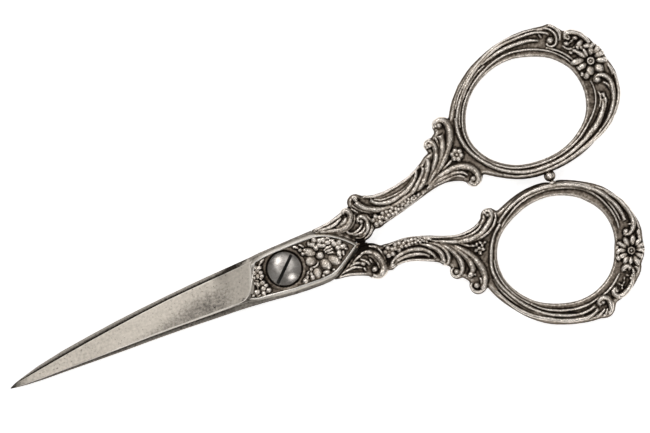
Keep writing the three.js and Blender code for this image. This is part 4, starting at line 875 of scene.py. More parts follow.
upper_front = strike_shell("upper_handle_front", upper_relief, FRONT, upper_shade_and_grime)
upper_back = strike_shell("upper_handle_back", upper_relief, BACK, upper_shade_and_grime)
lower_front = strike_shell("lower_handle_front", lower_relief, FRONT, lower_shade_and_grime)
lower_back = strike_shell("lower_handle_back", lower_relief, BACK, lower_shade_and_grime)
bpy.data.objects.remove(upper_relief)
bpy.data.objects.remove(lower_relief)

# %% [markdown]
# ## Flower panels
# In the sunk field of each pivot plate lies a cast panel: an open flower with leaves toward
# the handles, berries, and a cluster of small blossoms toward the blade. A plain collar
# rings the screw.

# %% Strokes and petals of the panel
panel_ridges = [
    (0.16, 0.7, 0.6, [(4.2, -1.5), (4.8, -1.72), (5.45, -1.55), (5.75, -1.2)]),
    (0.24, 0.5, 0.6, [(-3.75, 2.2), (-3.2, 2.6), (-2.6, 2.9)]),
    (0.20, 0.7, 0.7, [(-5.6, 0.3), (-5.2, 0), (-4.8, -0.3)]),
    (0.18, 0.6, 0.6, [(-5.4, -0.8), (-5.4, -1.2), (-5.6, -1.5)]),
    (0.20, 0.6, 0.6, [(-6.2, -2.1), (-5.9, -2.55), (-5.4, -2.5)]),
    (0.24, 0.7, 0.5, [(2.7, 2.8), (3.15, 2.62), (3.5, 2.3)]),
    (0.22, 0.7, 0.5, [(3.8, 2.85), (4.15, 2.5), (4.45, 2.05)]),
    (0.24, 0.5, 0.7, [(7.3, 0.2), (8, 0.42), (8.8, 0.45)]),
    (0.24, 0.5, 0.7, [(7.4, -0.12), (8.1, -0.1), (8.9, -0.05)]),
    (0.22, 0.5, 0.7, [(7.7, -0.45), (8.2, -0.55), (8.8, -0.65)]),
    (0.18, 0.7, 0.6, [(3.15, -2.45), (3.4, -2.22), (3.7, -2.0)]),
]
panel_petals = [
    (5.02, 0.85, 1.14, 0.76, 145), (4.7, -0.52, 1.05, 0.96, 187), (4.88, -2.75, 1.04, 0.84, 252),
    (6.72, -1.95, 1.28, 0.94, -70), (8.25, -1.9, 1.38, 0.92, -46), (9.42, 0.55, 0.58, 0.46, 122),
    (10.22, 0.45, 0.56, 0.42, 45), (10.5, -0.35, 0.7, 0.42, -8), (9.62, -1.15, 0.56, 0.44, 250),
    (2.6, -3.3, 0.6, 0.46, 190), (7.9, 1.85, 0.52, 0.44, 60), (8.4, 1.25, 0.6, 0.44, -20),
    (6.5, 2.5, 0.52, 0.46, 90), (7.25, 2.05, 0.52, 0.4, 20), (5.95, 1.9, 0.5, 0.38, 165),
    (6.3, 1.2, 0.46, 0.4, 255), (6.98, 1.35, 0.5, 0.38, -40), (-4.95, 1.25, 0.46, 0.4, 150),
    (-4.4, 1.5, 0.44, 0.38, 60), (-4.05, 0.95, 0.42, 0.36, -20), (-4.65, 0.6, 0.46, 0.38, 240),
    (-4.65, -1.75, 0.54, 0.46, 20), (-5.75, -1.85, 0.58, 0.46, 190), (-4.85, -2.45, 0.5, 0.38, 270),
    (-5.15, -0.75, 0.46, 0.38, 120), (-4.45, -0.8, 0.52, 0.4, 10),
]
panel_drops = [
    (6.42, -0.3, 0.68, 0.64, 0), (6.35, -3.35, 0.6, 0.36, -12), (9.75, -0.25, 0.5, 0.44, 0),
    (10.25, -1.45, 0.46, 0.24, 70), (9.42, -1.95, 0.36, 0.26, 15), (10.95, -0.95, 0.34, 0.22, -30),
    (5.4, 2.3, 0.42, 0.26, 70), (7.6, 1.0, 0.46, 0.34, 0), (9.15, 1.3, 0.56, 0.28, -16),
    (8.75, 1.9, 0.42, 0.26, -20), (3.0, -2.85, 0.34, 0.3, 40), (3.85, -3.25, 0.46, 0.42, 70),
    (3.85, -2.6, 0.3, 0.28, 0), (4.13, -1.88, 0.34, 0.26, 60), (5.65, -3.7, 0.3, 0.22, -40),
    (7.68, -3.42, 0.3, 0.24, 0), (3.65, 1.85, 0.34, 0.3, 0), (4.4, 1.6, 0.3, 0.26, 0),
    (3.85, 1.1, 0.34, 0.3, 0), (-3.9, 1.8, 0.44, 0.38, 0), (-4.5, 2.1, 0.38, 0.3, 30),
    (-4.0, 0.3, 0.38, 0.32, 0), (-5.3, 0.55, 0.32, 0.24, 60), (-4.0, -1.4, 0.4, 0.34, 0),
    (-3.85, -2.35, 0.5, 0.42, 0), (-6.65, -2.2, 0.36, 0.24, 20), (-5.6, -0.35, 0.3, 0.24, 50),
    (-4.35, 0.0, 0.3, 0.24, 0),
]
print("panel:", len(panel_petals), "petals and", len(panel_drops), "drops")

# %% Sizes of the panel
PANEL_GROUND = 1.12
PANEL_FLOOR = 0.955
PANEL_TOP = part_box("front_blade")[1].z / MM - SEAM
PANEL_LIFT = 0.85
PANEL_BUMPS = 0.06
PANEL_GRAIN = 0.07
COLLAR_RADIUS = 3.42
SCREW_GAP_RADIUS = 3.0
BACK_PLATE_SHARE = 0.92
BACK_PLATE_SHIFT = 0.12
collar_ring = [(0.26, 1, 1, ring(0, 0, COLLAR_RADIUS, 32))]
# The ring at the screw's edge is a painted shadow in the gap between head and collar; a ring on the
# collar and a wide patch toward the blade are darkened too.
gap_shade_and_grime = [(x, y, 0.17, 0.4) for x, y in ring(0, 0, SCREW_GAP_RADIUS, 60)]
gap_shade_and_grime += [(x, y, 0.26, 0.14) for x, y in ring(0, 0, COLLAR_RADIUS, 60)]
gap_shade_and_grime.append((-4.8, -0.2, 2.2, 0.16))


def on_back_plate(y):
    """Where a place of the front plate lies on the back plate, turned over and narrower."""
    return -BACK_PLATE_SHARE * y - BACK_PLATE_SHIFT


def on_front_plate(y, side):
    """Where a place of either plate lies on the front plate."""
    return y if side == FRONT else -(y + BACK_PLATE_SHIFT) / BACK_PLATE_SHARE


print("panel from", PANEL_FLOOR, "to", round(PANEL_TOP, 3), "mm over the seam")


# %% Cast the two panels
def cast_panel(node, side):
    name = node + "_cast"
    body = bench_copy(node, name)
    hold_between(body, -np.inf, PANEL_GROUND, side)
    ridges = lay_ridges(name + "_ridges", panel_ridges, PANEL_GROUND, lift=PANEL_LIFT)
    drops = lay_drops(name + "_drops", swell(panel_drops, 1.2), PANEL_GROUND, PANEL_LIFT)
    petals = lay_drops(name + "_petals", swell(panel_petals, 1.27), PANEL_GROUND, PANEL_LIFT,
                       tilted_petal)
    collar = lay_ridges(name + "_collar", collar_ring, PANEL_GROUND - 0.05, closed=True, lift=0.4)
    stamp = join_all(ridges, drops, petals, collar)
    if side == BACK:
        points = points_of(stamp)
        points[:, 1] = on_back_plate(points[:, 1])
        points[:, 2] = 2 * SEAM - points[:, 2]
        move_points(stamp, points)
    panel = join_all(body, stamp)
    hold_between(panel, PANEL_FLOOR, PANEL_TOP, side)
    melt(panel, PANEL_GRAIN, PANEL_FLOOR, PANEL_TOP, side, PANEL_BUMPS)
    note_hollows_and_shade(panel, 48, 0.08, low=1.26, fade=0.12, low_value=0.565, rubbed=0.2, grime_and_shade=gap_shade_and_grime)
    return panel


front_panel = cast_panel("front_flower_panel", FRONT)
back_panel = cast_panel("back_flower_panel", BACK)
bpy.data.objects.remove(round_drop)
bpy.data.objects.remove(tilted_petal)

# %% [markdown]
# ## Blades
# A blade was forged, then ground: a wide face down to the cutting edge, a narrow hollow
# bevel up to the spine, and a bright line where the two meet, worn and with a painted
# highlight, above a thin painted shade on the bevel. The CAD blade has these planes. Here
# the same stations are lofted with more rows, so that each point can carry its own wear and
# painted shading; on the half nearer the pivot the face darkens toward the ridge, a painted
# shade of its reflection. Near the pivot the face rises and ends in a curved lip over the
# plate's sunk field, rubbed and with a painted highlight, and the rim of the plate runs out
# along the spine as a thin wedge. The strip that the other blade never rubs stays dark:
# tarnish, and painted shadow next to the other blade's edge.

# %% Stations of the two blades: x, cutting edge, ridge, spine
front_stations = [
    (-50.7, -0.48, -0.56, -0.64), (-49.5, -0.14, -0.72, -0.86), (-48, 0.06, -0.86, -1.09),
    (-45, 0.42, -1.06, -1.38), (-40, 1.02, -1.2, -1.66), (-35, 1.58, -1.38, -1.98),
    (-30, 2.05, -1.5, -2.27), (-25, 2.5, -1.66, -2.5), (-20, 2.84, -1.89, -2.8),
    (-15, 3.02, -2.18, -3.18), (-10, 3.15, -2.42, -3.54), (-7, 3.25, -2.75, -3.82),
    (-4, 3.4, -3.0, -4.2),
]
back_stations = [
    (-50.7, -0.62, -0.54, -0.46), (-49.5, -0.72, -0.3, 0.02), (-48, -0.8, 0.0, 0.42),
    (-45, -0.92, 0.5, 1.12), (-40, -1.1, 1.2, 1.92), (-35, -1.32, 1.65, 2.46),
    (-30, -1.52, 2.0, 2.94), (-25, -1.75, 2.3, 3.3), (-20, -2.0, 2.5, 3.58), (-15, -2.3, 2.65, 3.8),
    (-10, -2.55, 2.75, 3.94), (-7, -2.7, 2.8, 4.0), (-4, -2.9, 2.85, 4.06),
]
BLADE_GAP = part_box("front_blade")[0].z / MM - SEAM
EDGE_THICKNESS = 0.14
TIP_THICKNESS = 0.45
ROOT_THICKNESS = 1.45
TIP_X = -50.7
ROOT_X = -4
THICKENING_LENGTH = 45.7
PLATE_TOP = 1.02
RISE_FROM = -13.0
RISE_LENGTH = 5.5
UNDERCUT = 0.012
ricasso_y = (-4.6, -2.68, -2.56, -2.4, -2.14, -1.72, -0.96, 0.13, 1.55, 2.65, 3.0, 3.6)
ricasso_x = (-7.4, -7.3, -8.9, -8.9, -8.0, -7.15, -6.5, -5.98, -5.4, -4.97, -4.6, -4.4)
print("blades from", TIP_X, "to", ROOT_X, "mm in", len(front_stations), "stations")


# %% Rows of a blade section
face_shares = (0.03, 0.12, 0.3, 0.5, 0.66, 0.76, 0.82, 0.87, 0.91, 0.94, 0.97)
# Bevel rows (share toward the spine, fall, wear): the first and darkest is a painted shade just below
# the ridge's painted highlight.
bevel_rows = ((0.22, 0.42, 0.80), (0.5, 0.68, 0.66), (0.8, 0.88, 0.60), (0.95, 0.98, 0.5))
# Mating rows (share from the spine to the other blade's edge, wear) darken toward that edge: tarnish,
# and painted shadow of the other blade.
mating_rows = ((0.12, 0.5), (0.36, 0.58), (0.6, 0.72), (0.85, 0.92), (1.0, 0.97))


def blade_rows(x, stations, other):
    """Rows (y, height, wear with painted shading) at x: cutting edge, face, ridge, bevel, spine and
    underside.
    """
    line = np.array(stations)
    edge, ridge, spine = (np.interp(x, line[:, 0], line[:, k]) for k in (1, 2, 3))
    rubbed = np.interp(x, np.array(other)[:, 0], np.array(other)[:, 1])
    thickening = np.clip((x - TIP_X) / THICKENING_LENGTH, 0, 1)
    thick = TIP_THICKNESS + (ROOT_THICKNESS - TIP_THICKNESS) * thickening
    root = ease((x - RISE_FROM) / RISE_LENGTH)
    lip = EDGE_THICKNESS + (PLATE_TOP - EDGE_THICKNESS) * root
    shoulder = 0.5 * thick + (PLATE_TOP - 0.5 * thick) * root
    top = thick + 0.02 * root
    under = -UNDERCUT * root
    toward = np.sign(ridge - edge)
    # Zones along the blade: painted shade of the face's reflection near the ridge and, fainter, over
    # the root; the stained inner face.
    shade_zone = ease((x + 33) / 10) * ease((-8 - x) / 4.5)
    shade_from = 0.85 - 0.72 * ease((x + 33) / 21)
    root_shade_zone = ease((x + 22) / 8) * ease((-6.5 - x) / 3)
    stained = ease((x + 11.5) / 3.8)
    rows = [(edge, under, 0.35), (edge, lip, 0.25)]
    for share in face_shares:
        across = edge + (ridge - edge) * share
        grey = 0.5 + 0.02 * root_shade_zone + 0.035 * ease((-22 - x) / 14)
        # Painted shade of the face's reflection: on the half nearer the pivot the face darkens toward
        # the ridge.
        grey += 0.12 * shade_zone * ease((share - shade_from) / 0.5)
        rows.append((across, lip + (top - lip) * share, grey))
    # The ridge line is painted bright: a worn edge with a painted highlight.
    rows.append((ridge - 0.06 * toward, top - 0.006, 0.15))
    rows.append((ridge + 0.04 * toward, top - 0.01, 0.05))
    for share, fall, wear in bevel_rows:
        across = ridge + (spine - ridge) * share
        rows.append((across, top - (top - shoulder) * fall, wear + (0.6 - wear) * root))
    rows.append((spine, shoulder - 0.04, 0.4))
    rows.append((spine, under, 0.6))
    # The strip beyond the other blade's edge: tarnish, and painted shadow darkest next to that edge.
    for share, wear in mating_rows:
        rows.append((spine + (rubbed - spine) * share, under, wear + (0.86 - wear) * stained))
    rows.append((rubbed + 0.12 * np.sign(edge - spine), under, 0.52))
    rows.append((0.5 * (rubbed + edge), under, 0.5))
    tip = ease((-48.8 - x) / 1.5)
    return [(y, height, wear + (0.8 - wear) * tip) for y, height, wear in rows]


print("a blade section has", len(blade_rows(ROOT_X, front_stations, back_stations)), "rows")


# %% Lofts: the blade, and the tapered end of the plate's rim
# The lip is painted bright in the last section and in the one before it: rubbed, with a painted
# highlight.
LIP_WEAR_AND_HIGHLIGHT = {-1: 0.1, -2: 0.3}
# Rows of the rim: x, inner edge, outer edge, height.
rim_tail = [
    (-9.4, -2.5, -2.56, 1.43), (-8.9, -2.4, -2.6, 1.47), (-8.4, -2.27, -2.65, 1.51),
    (-7.9, -2.1, -2.68, 1.54), (-7.45, -1.85, -2.72, 1.57), (-7.05, -1.55, -2.74, 1.6),
]
RIM_FOOT = 0.9


def loft(name, sections, smooth_angle):
    """Skins a series of closed sections of (point, wear) pairs, with a cap at either end."""
    count = len(sections[0])
    points = [point for section in sections for point, _ in section]
    faces = []
    for start in range(0, len(points) - count, count):
        for k in range(count):
            j = (k + 1) % count
            faces.append((start + k, start + j, start + count + j, start + count + k))
    faces.append(tuple(range(count)))
    faces.append(tuple(range(len(points) - count, len(points))))
    mesh = bpy.data.meshes.new(name)
    mesh.from_pydata(points, [], faces)
    piece = lay_on_bench(name, mesh)
    store_wear_and_shading(piece, [wear for section in sections for _, wear in section])
    edit_all(piece, FACE_OUT)
    bpy.ops.object.shade_smooth_by_angle(angle=math.radians(smooth_angle))
    return piece


def loft_blade(name, stations, other, side):
    """The ground blade, whose last sections bend to the curved lip over the sunk field."""
    along = np.concatenate([(TIP_X, -50.3, -49.9), np.linspace(-49.5, RISE_FROM, 52),
                            np.linspace(RISE_FROM, ROOT_X, 28)[1:]])
    count = len(blade_rows(TIP_X, stations, other))
    sections = []
    for i, x in enumerate(along):
        reach = np.full(count, float(x))
        for _ in range(4):
            rows = [blade_rows(reach[k], stations, other)[k] for k in range(count)]
            if x > RISE_FROM:
                ends = np.array([np.interp(on_front_plate(row[0], side), ricasso_y, ricasso_x)
                                 for row in rows])
                reach = RISE_FROM + (x - RISE_FROM) / (ROOT_X - RISE_FROM) * (ends - RISE_FROM)
        section = []
        for k, (y, height, wear) in enumerate(rows):
            if 1 < k < 11:
                wear = LIP_WEAR_AND_HIGHLIGHT.get(i - len(along), wear)
            section.append(((reach[k], y, SEAM + side * (BLADE_GAP + height)), wear))
        sections.append(section)
    return loft(name, sections, 24)


def taper_rim(name, side):
    """A thin wedge that leads the rim out along the blade, with a bright lip on its inner edge:
    rubbed, with a painted highlight.
    """
    sections = []
    for x, inner, outer, height in rim_tail:
        rounded = inner - min(0.14, 0.5 * (inner - outer))
        rows = [(inner, RIM_FOOT, 0.6), (inner, height - 0.035, 0.05), (rounded, height, 0.74),
                (outer, height, 0.7), (outer, RIM_FOOT, 0.66)]
        sections.append([((x, y if side == FRONT else on_back_plate(y), SEAM + side * level), wear)
                         for y, level, wear in rows])
    return loft(name, sections, 30)


# %% [markdown]
# ## Pivot plates
# On the real pair, plate and blade are one forging. The CAD plate already has its rim, its
# sunk field and its tang, so it is kept, and only the CAD blade is cut off it. A small bevel
# rounds its edges, since a sharp edge never catches the light. Then each corner gets its
# value: bright where the rim meets the panel, a rubbed edge with a painted highlight, black
# in the sunk field, dull elsewhere.

# %% Trim and wear the plate
PLATE_CUT = -9.2
BLADE_SIDE = -4.7
MATING_LEVEL = 0.12
FIELD_FLOOR = 0.97
FIELD_LOW, FIELD_HIGH = 0.9, 0.99
RIM_TOP = 1.3
RIM_LEVEL = 1.25
LIP_BELOW, LIP_ABOVE = -2.5, 2.62
LIP_DRAW = 0.45
PANEL_EDGE_WIDTH = 0.3


def heights_and_places(plate, side):
    """Corners of a plate, their heights over the seam, and where they lie across the front plate."""
    corners = points_of(plate)
    return corners, side * (corners[:, 2] - SEAM), on_front_plate(corners[:, 1], side)


def trim_plate(node, name, side):
    """The CAD plate without its blade; its edge toward the blade is sunk under the lofted lip."""
    plate = bench_copy(node, name)
    cut = {"plane_co": (PLATE_CUT, 0, 0), "plane_no": (1, 0, 0), "clear_inner": True, "use_fill": True}
    edit_all(plate, (bpy.ops.mesh.dissolve_limited, {"angle_limit": math.radians(0.8)}),
             (bpy.ops.mesh.bisect, cut))
    corners, level, across = heights_and_places(plate, side)
    lip = (level > RIM_LEVEL) & (across > LIP_BELOW) & (across < LIP_ABOVE)
    lip &= corners[:, 0] < np.interp(across, ricasso_y, ricasso_x) + 1.2
    corners[lip, 0] -= LIP_DRAW
    corners[lip, 2] = SEAM + side * FIELD_FLOOR
    move_points(plate, corners)
    apply_modifier(plate, "BEVEL", width=0.1, segments=3, limit_method="ANGLE",
                   angle_limit=math.radians(25), harden_normals=True)
    return plate


def wear_and_highlight_plate(plate, panel, side):
    """Paints the rim bright where it meets the panel, rubbed and with a painted highlight, and leaves
    the sunk field dark.
    """
    corners, level, across = heights_and_places(plate, side)
    toward_blade = corners[:, 0] < BLADE_SIDE
    field = SEAM + side * 1.1
    lip = np.array([(panel.closest_point_on_mesh((x, y, field))[1].xy - Vector((x, y))).length
                    < PANEL_EDGE_WIDTH for x, y, _ in corners])
    # The rim's inner edge along the panel is painted bright: a rubbed edge with a painted highlight.
    wear = np.where(level > RIM_TOP, np.where(lip, 0.05, 0.5), 0.64)
    sunk = (level > FIELD_LOW) & (level < FIELD_HIGH)
    wear = np.where(sunk, 0.97, wear)
    wedge = toward_blade & (across > -2.75) & (across < 3.0)
    wedge &= (level > MATING_LEVEL) & (level < 1.5)
    unrubbed = toward_blade & (level < MATING_LEVEL)
    store_wear_and_shading(plate, np.where(unrubbed, 0.86, np.where(wedge, 0.5, wear)))
    pick(plate)
    bpy.ops.object.shade_smooth_by_angle(angle=math.radians(30))


# %% Join each blade to its plate
def forge_blade(node, stations, other, side, panel):
    name = node + "_ground"
    blade = loft_blade(name, stations, other, side)
    plate = trim_plate(node, name + "_plate", side)
    wear_and_highlight_plate(plate, panel, side)
    whole = join_all(blade, plate, taper_rim(name + "_rim_tail", side))
    print(name, len(whole.data.polygons), "faces")
    return whole


front_blade = forge_blade("front_blade", front_stations, back_stations, FRONT, front_panel)
back_blade = forge_blade("back_blade", back_stations, front_stations, BACK, back_panel)

# %% [markdown]
# ## Pivot screw
# The screw has a low domed head. Its slot was sawn a little off centre: it runs out through
# the rim at one end and stops just short of it at the other. A lathe makes such a screw, so
# its profile is spun round the pivot, and a block with soft edges is cut out for the slot.
# The walls and floor of the slot get a near-black finish of their own: painted shade, with old oil
# turned black there.

# %% Spin the screw
screw_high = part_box("pivot_screw")[1]
SCREW_TOP = screw_high.z / MM
HEAD_RADIUS = screw_high.x / MM
HEAD_SEAT = SEAM + 0.97
SHANK_RADIUS = 1.3
DOME_RISE = 0.72
DOME_EDGE = 0.06


def spin_profile(name, profile, steps=96):
    """Turns a profile of (radius, height) points round the pivot into a closed body."""
    mesh = bpy.data.meshes.new(name)
    points = [(radius, 0, height) for radius, height in profile]
    mesh.from_pydata(points, [(k, k + 1) for k in range(len(points) - 1)], [])
    turned = lay_on_bench(name, mesh)
    whole_turn = {"steps": steps, "angle": 2 * math.pi, "center": (0, 0, 0), "axis": (0, 0, 1)}
    edit_all(turned, (bpy.ops.mesh.spin, whole_turn), MERGE, FACE_OUT)
    print(name, len(mesh.polygons), "faces")
    return turned


cap = (HEAD_RADIUS ** 2 + DOME_RISE ** 2) / (2 * DOME_RISE)
widest = math.asin((HEAD_RADIUS - DOME_EDGE) / cap)
dome = [(cap * math.sin(t), cap * math.cos(t) - cap + DOME_RISE) for t in np.linspace(0.0, widest, 14)]
head_side = SCREW_TOP - DOME_RISE
screw_profile = [(0, 0.0), (SHANK_RADIUS - 0.12, 0.0), (SHANK_RADIUS, 0.12), (SHANK_RADIUS, HEAD_SEAT),
                 (HEAD_RADIUS - 0.1, HEAD_SEAT), (HEAD_RADIUS, HEAD_SEAT + 0.1),
                 (HEAD_RADIUS, head_side - DOME_EDGE)]
screw_profile += [(radius, head_side + rise) for radius, rise in reversed(dome)]
screw = spin_profile("pivot_screw_turned", screw_profile)

# %% Cut its slot and mark the painted shade and grime inside
SLOT_TURN = math.radians(41.8)
SLOT_HALF_LENGTH = 2.92
SLOT_HALF_WIDTH = 0.27
SLOT_DEPTH = 0.68
SLOT_X, SLOT_Y = -0.18, -0.22
GRIME_AND_SHADE_FROM, GRIME_AND_SHADE_TO = 0.06, 0.7
bpy.ops.mesh.primitive_cube_add(size=2, location=(SLOT_X, SLOT_Y, SCREW_TOP))
cutter = bpy.context.object
cutter.scale = (SLOT_HALF_LENGTH, SLOT_HALF_WIDTH, SLOT_DEPTH)
cutter.rotation_euler = (0, 0, SLOT_TURN)
bpy.ops.object.transform_apply(location=True, rotation=True, scale=True)
apply_modifier(cutter, "BEVEL", width=0.08, segments=3, limit_method="ANGLE")
apply_modifier(screw, "BOOLEAN", operation="DIFFERENCE", object=cutter, solver="EXACT")
bpy.data.objects.remove(cutter)
apply_modifier(screw, "BEVEL", width=0.14, segments=4, limit_method="ANGLE",
               angle_limit=math.radians(40))
pick(screw)
bpy.ops.object.shade_smooth_by_angle(angle=math.radians(35))
screw.data.materials.append(None)
screw.data.materials.append(None)
# Faces on the walls and floor of the slot take the near-black finish: painted shade, with grime.
for face in screw.data.polygons:
    x, y, z = face.center
    across = (SLOT_X - x) * math.sin(SLOT_TURN) + (y - SLOT_Y) * math.cos(SLOT_TURN)
    surface = head_side + math.sqrt(max(0, cap * cap - x * x - y * y)) - cap + DOME_RISE
    if abs(across) < SLOT_HALF_WIDTH + 0.01 and surface - GRIME_AND_SHADE_TO < z < surface - GRIME_AND_SHADE_FROM:
        face.material_index = 1
print("screw", len(screw.data.polygons), "faces")

# %% [markdown]
# ## Stop bead and pin
# Where the bows meet, a small silver bead on the upper bow closes on a pin in the lower bow.
# The bead has a collar where it is soldered on, and the pin has a low round head. Both are
# painted bright on top and dark round the sides: painted highlight and painted shade, with
# wear and tarnish.

# %% Turn the bead and the pin
BEAD_X, BEAD_Y = 47.58, -3.08
bead_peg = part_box("stop_bead")[1].y / MM - BEAD_Y
pin_foot, pin_top = (corner.y / MM - BEAD_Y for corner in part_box("stop_pin"))


def lay_along_bow(piece):
    """Turns a piece spun about Z so that its axis points along +Y through the bead."""
    points = points_of(piece)
    laid = np.stack([BEAD_X + points[:, 0], BEAD_Y + points[:, 2], SEAM - points[:, 1]], 1)
    move_points(piece, laid)


# Faces turned up are painted bright and faces turned sideways dark: painted highlight and painted
# shade, with wear and tarnish.
def shade_and_tarnish_sides(piece):
    normals = np.empty(len(piece.data.vertices) * 3, np.float32)
    piece.data.vertex_normals.foreach_get("vector", normals)
    store_wear_and_shading(piece, 0.2 + 0.8 * (1 - np.abs(normals[2::3])))


bead_profile = [(math.sin(t), -math.cos(t)) for t in np.linspace(0, 2.45, 18)]
bead_profile += [(0.66, 0.72), (0.74, 0.8), (0.7, 0.92), (0.5, 0.98), (0.5, bead_peg), (0, bead_peg)]
pin_profile = [(0, pin_foot), (0.4, pin_foot), (0.45, pin_foot + 0.06), (0.45, pin_top - 0.25),
               (0.42, pin_top - 0.12), (0.3, pin_top - 0.03), (0, pin_top)]
stop_bead = spin_profile("stop_bead_turned", bead_profile, 48)
stop_pin = spin_profile("stop_pin_turned", pin_profile, 40)
for turned in (stop_bead, stop_pin):
    lay_along_bow(turned)
    edit_all(turned, FACE_OUT)
    apply_modifier(turned, "SUBSURF", levels=1, render_levels=1)
    bpy.ops.object.shade_smooth_by_angle(angle=math.radians(40))
    shade_and_tarnish_sides(turned)


# %% [markdown]
# ## Finishes
# Old silver is bright where fingers polish it and nearly black where they can't reach. The
# stored hollows drive that, together with the painted shadows, highlights and shade stored
# with them: they choose between polished ridge, grey ground and dark groove, and they make
# the grooves rougher too. Noise breaks the edges of the tarnish.

# %% Node helpers
def start_finish(name, rough=0.5, metallic=1.0):
    """A new material, its tree, its shader, and coordinates that stay with the piece."""
    finish, tree, shade = plain_finish(name, (0.8, 0.8, 0.8), rough)
    shade.inputs["Metallic"].default_value = metallic
    return finish, tree, shade, tree.nodes.new("ShaderNodeTexCoord").outputs["Object"]


def stored_wear_and_shading(tree):
    node = tree.nodes.new("ShaderNodeAttribute")
    node.attribute_name = "wear_and_shading"
    return node.outputs["Fac"]


def noise(tree, coordinates, scale, detail):
    node = tree.nodes.new("ShaderNodeTexNoise")
    node.inputs["Scale"].default_value = scale
    node.inputs["Detail"].default_value = detail
    node.inputs["Roughness"].default_value = 0.55
    tree.links.new(coordinates, node.inputs["Vector"])
    return node.outputs["Fac"]


def add(tree, first, second, weight):
    """First, plus weight times second."""
    return combine(tree, "MULTIPLY_ADD", second, weight, first)


def ramp(tree, factor, stops, into=None):
    """Stops are (place, colour), or (place, grey); the result may go straight into a socket."""
    node = tree.nodes.new("ShaderNodeValToRGB")
    while len(node.color_ramp.elements) < len(stops):
        node.color_ramp.elements.new(0.5)
    for element, (place, tone) in zip(node.color_ramp.elements, stops):
        element.position = place
        element.color = (*tone, 1) if isinstance(tone, tuple) else (tone, tone, tone, 1)
    tree.links.new(factor, node.inputs["Fac"])
    if into:
        tree.links.new(node.outputs["Color"], into)
    return node.outputs["Color"]


def bump(tree, shade, height, strength, distance):
    node = tree.nodes.new("ShaderNodeBump")
    node.inputs["Strength"].default_value = strength
    node.inputs["Distance"].default_value = distance
    tree.links.new(height, node.inputs["Height"])
    tree.links.new(node.outputs["Normal"], shade.inputs["Normal"])


# %% Aged silver
def aged_silver(name):
    finish, tree, shade, place = start_finish(name)
    cloud = noise(tree, place, 800, 4)
    speck = noise(tree, place, 3000, 3)
    depth = add(tree, stored_wear_and_shading(tree), cloud, 0.2)
    depth = add(tree, depth, speck, 0.2)
    ramp(tree, depth, [(0.44, (0.95, 0.87, 0.785)), (0.59, (0.58, 0.505, 0.425)),
                       (0.71, (0.285, 0.235, 0.19)), (0.84, (0.10, 0.078, 0.058)),
                       (0.97, (0.018, 0.013, 0.01))], shade.inputs["Base Color"])
    ramp(tree, depth, [(0.35, 0.18), (0.70, 0.30), (1.0, 0.6)], shade.inputs["Roughness"])
    bump(tree, shade, speck, 0.8, 0.00012)
    return finish


silver = aged_silver("aged_silver")
print("silver:", len(silver.node_tree.nodes), "nodes")

# %% [markdown]
# ## Steel
# Blade steel is paler than old silver and satin from grinding. Its stored wear and painted
# shading go from the bright ridge line, a painted highlight, over the grey face with its
# painted shade to the stained inner side, and a threshold on fine noise sprinkles it with
# pits. The screw was turned and wiped, so it is smoother, and the near-black in its slot,
# painted shade with grime, is no metal at all.

# %% Blade steel, screw steel and the grime in the slot
def blade_steel(name):
    finish, tree, shade, place = start_finish(name)
    cloud = noise(tree, place, 170, 4)
    grain = noise(tree, place, 2400, 3)
    pits = ramp(tree, noise(tree, place, 3000, 1), [(0.66, 0), (0.75, 1)])
    wear = add(tree, stored_wear_and_shading(tree), cloud, 0.07)
    wear = add(tree, wear, grain, 0.32)
    wear = add(tree, wear, pits, 0.16)
    ramp(tree, wear, [(0.21, (0.86, 0.82, 0.76)), (0.61, (0.62, 0.565, 0.495)),
                      (0.74, (0.50, 0.455, 0.395)), (0.86, (0.26, 0.235, 0.205)),
                      (1.0, (0.05, 0.042, 0.034))], shade.inputs["Base Color"])
    ramp(tree, wear, [(0.2, 0.24), (0.65, 0.38), (1.0, 0.55)], shade.inputs["Roughness"])
    bump(tree, shade, grain, 0.25, 0.00005)
    return finish


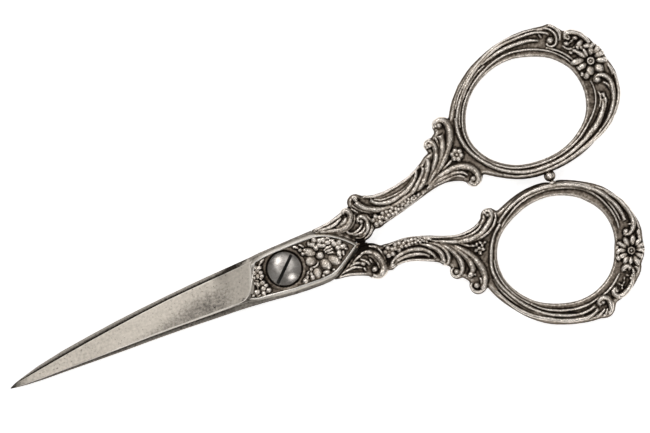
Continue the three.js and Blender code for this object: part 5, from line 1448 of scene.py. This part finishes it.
def screw_steel(name):
    finish, tree, shade, place = start_finish(name, rough=0.24)
    cloud = noise(tree, place, 380, 4)
    grain = noise(tree, place, 3600, 2)
    wear = add(tree, cloud, grain, 0.25)
    ramp(tree, wear, [(0.42, (0.38, 0.35, 0.325)), (0.62, (0.64, 0.6, 0.56)),
                      (0.8, (0.82, 0.78, 0.74))], shade.inputs["Base Color"])
    bump(tree, shade, grain, 0.15, 0.00005)
    return finish


# Near-black and no metal: painted shade in the slot, with grime.
def slot_shade_and_grime(name):
    finish, tree, shade, place = start_finish(name, rough=0.75, metallic=0.0)
    ramp(tree, noise(tree, place, 2500, 3),
         [(0.35, (0.008, 0.007, 0.006)), (0.75, (0.03, 0.026, 0.022))], shade.inputs["Base Color"])
    return finish


steel = blade_steel("blade_steel")
screw_metal = screw_steel("screw_steel")
grime_and_shade = slot_shade_and_grime("slot_shade_and_grime")
print("steel:", len(steel.node_tree.nodes), "nodes")

# %% [markdown]
# ## Assembly
# Each finished piece is scaled from the bench to metres, gets its finish, rides on the half
# of the scissors that carries it, and stands in for its CAD node.

# %% Seat every piece on its half
assembly = [
    (upper_front, "front_half", "upper_handle_front_shell", silver, "aged_silver"),
    (upper_back, "front_half", "upper_handle_back_shell", silver, "aged_silver"),
    (front_panel, "front_half", "front_flower_panel", silver, "aged_silver"),
    (front_blade, "front_half", "front_blade", steel, "blade_steel"),
    (stop_bead, "front_half", "stop_bead", silver, "aged_silver"),
    (lower_front, "back_half", "lower_handle_front_shell", silver, "aged_silver"),
    (lower_back, "back_half", "lower_handle_back_shell", silver, "aged_silver"),
    (back_panel, "back_half", "back_flower_panel", silver, "aged_silver"),
    (back_blade, "back_half", "back_blade", steel, "blade_steel"),
    (stop_pin, "back_half", "stop_pin", silver, "aged_silver"),
    (screw, "back_half", "pivot_screw", screw_metal, "screw_steel"),
]
triangles = 0
for piece, body, node, finish, slot in assembly:
    piece.data.transform(Matrix.Scale(MM, 4))
    if piece is screw:
        piece.data.materials[0] = finish
        piece.data.materials[1] = grime_and_shade
    else:
        piece.data.materials.clear()
        piece.data.materials.append(finish)
    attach(piece, body)
    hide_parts(node)
    corners = sum(len(face.vertices) - 2 for face in piece.data.polygons)
    triangles += corners
    print(piece.name, corners, "triangles")
print("all pieces:", triangles, "triangles")
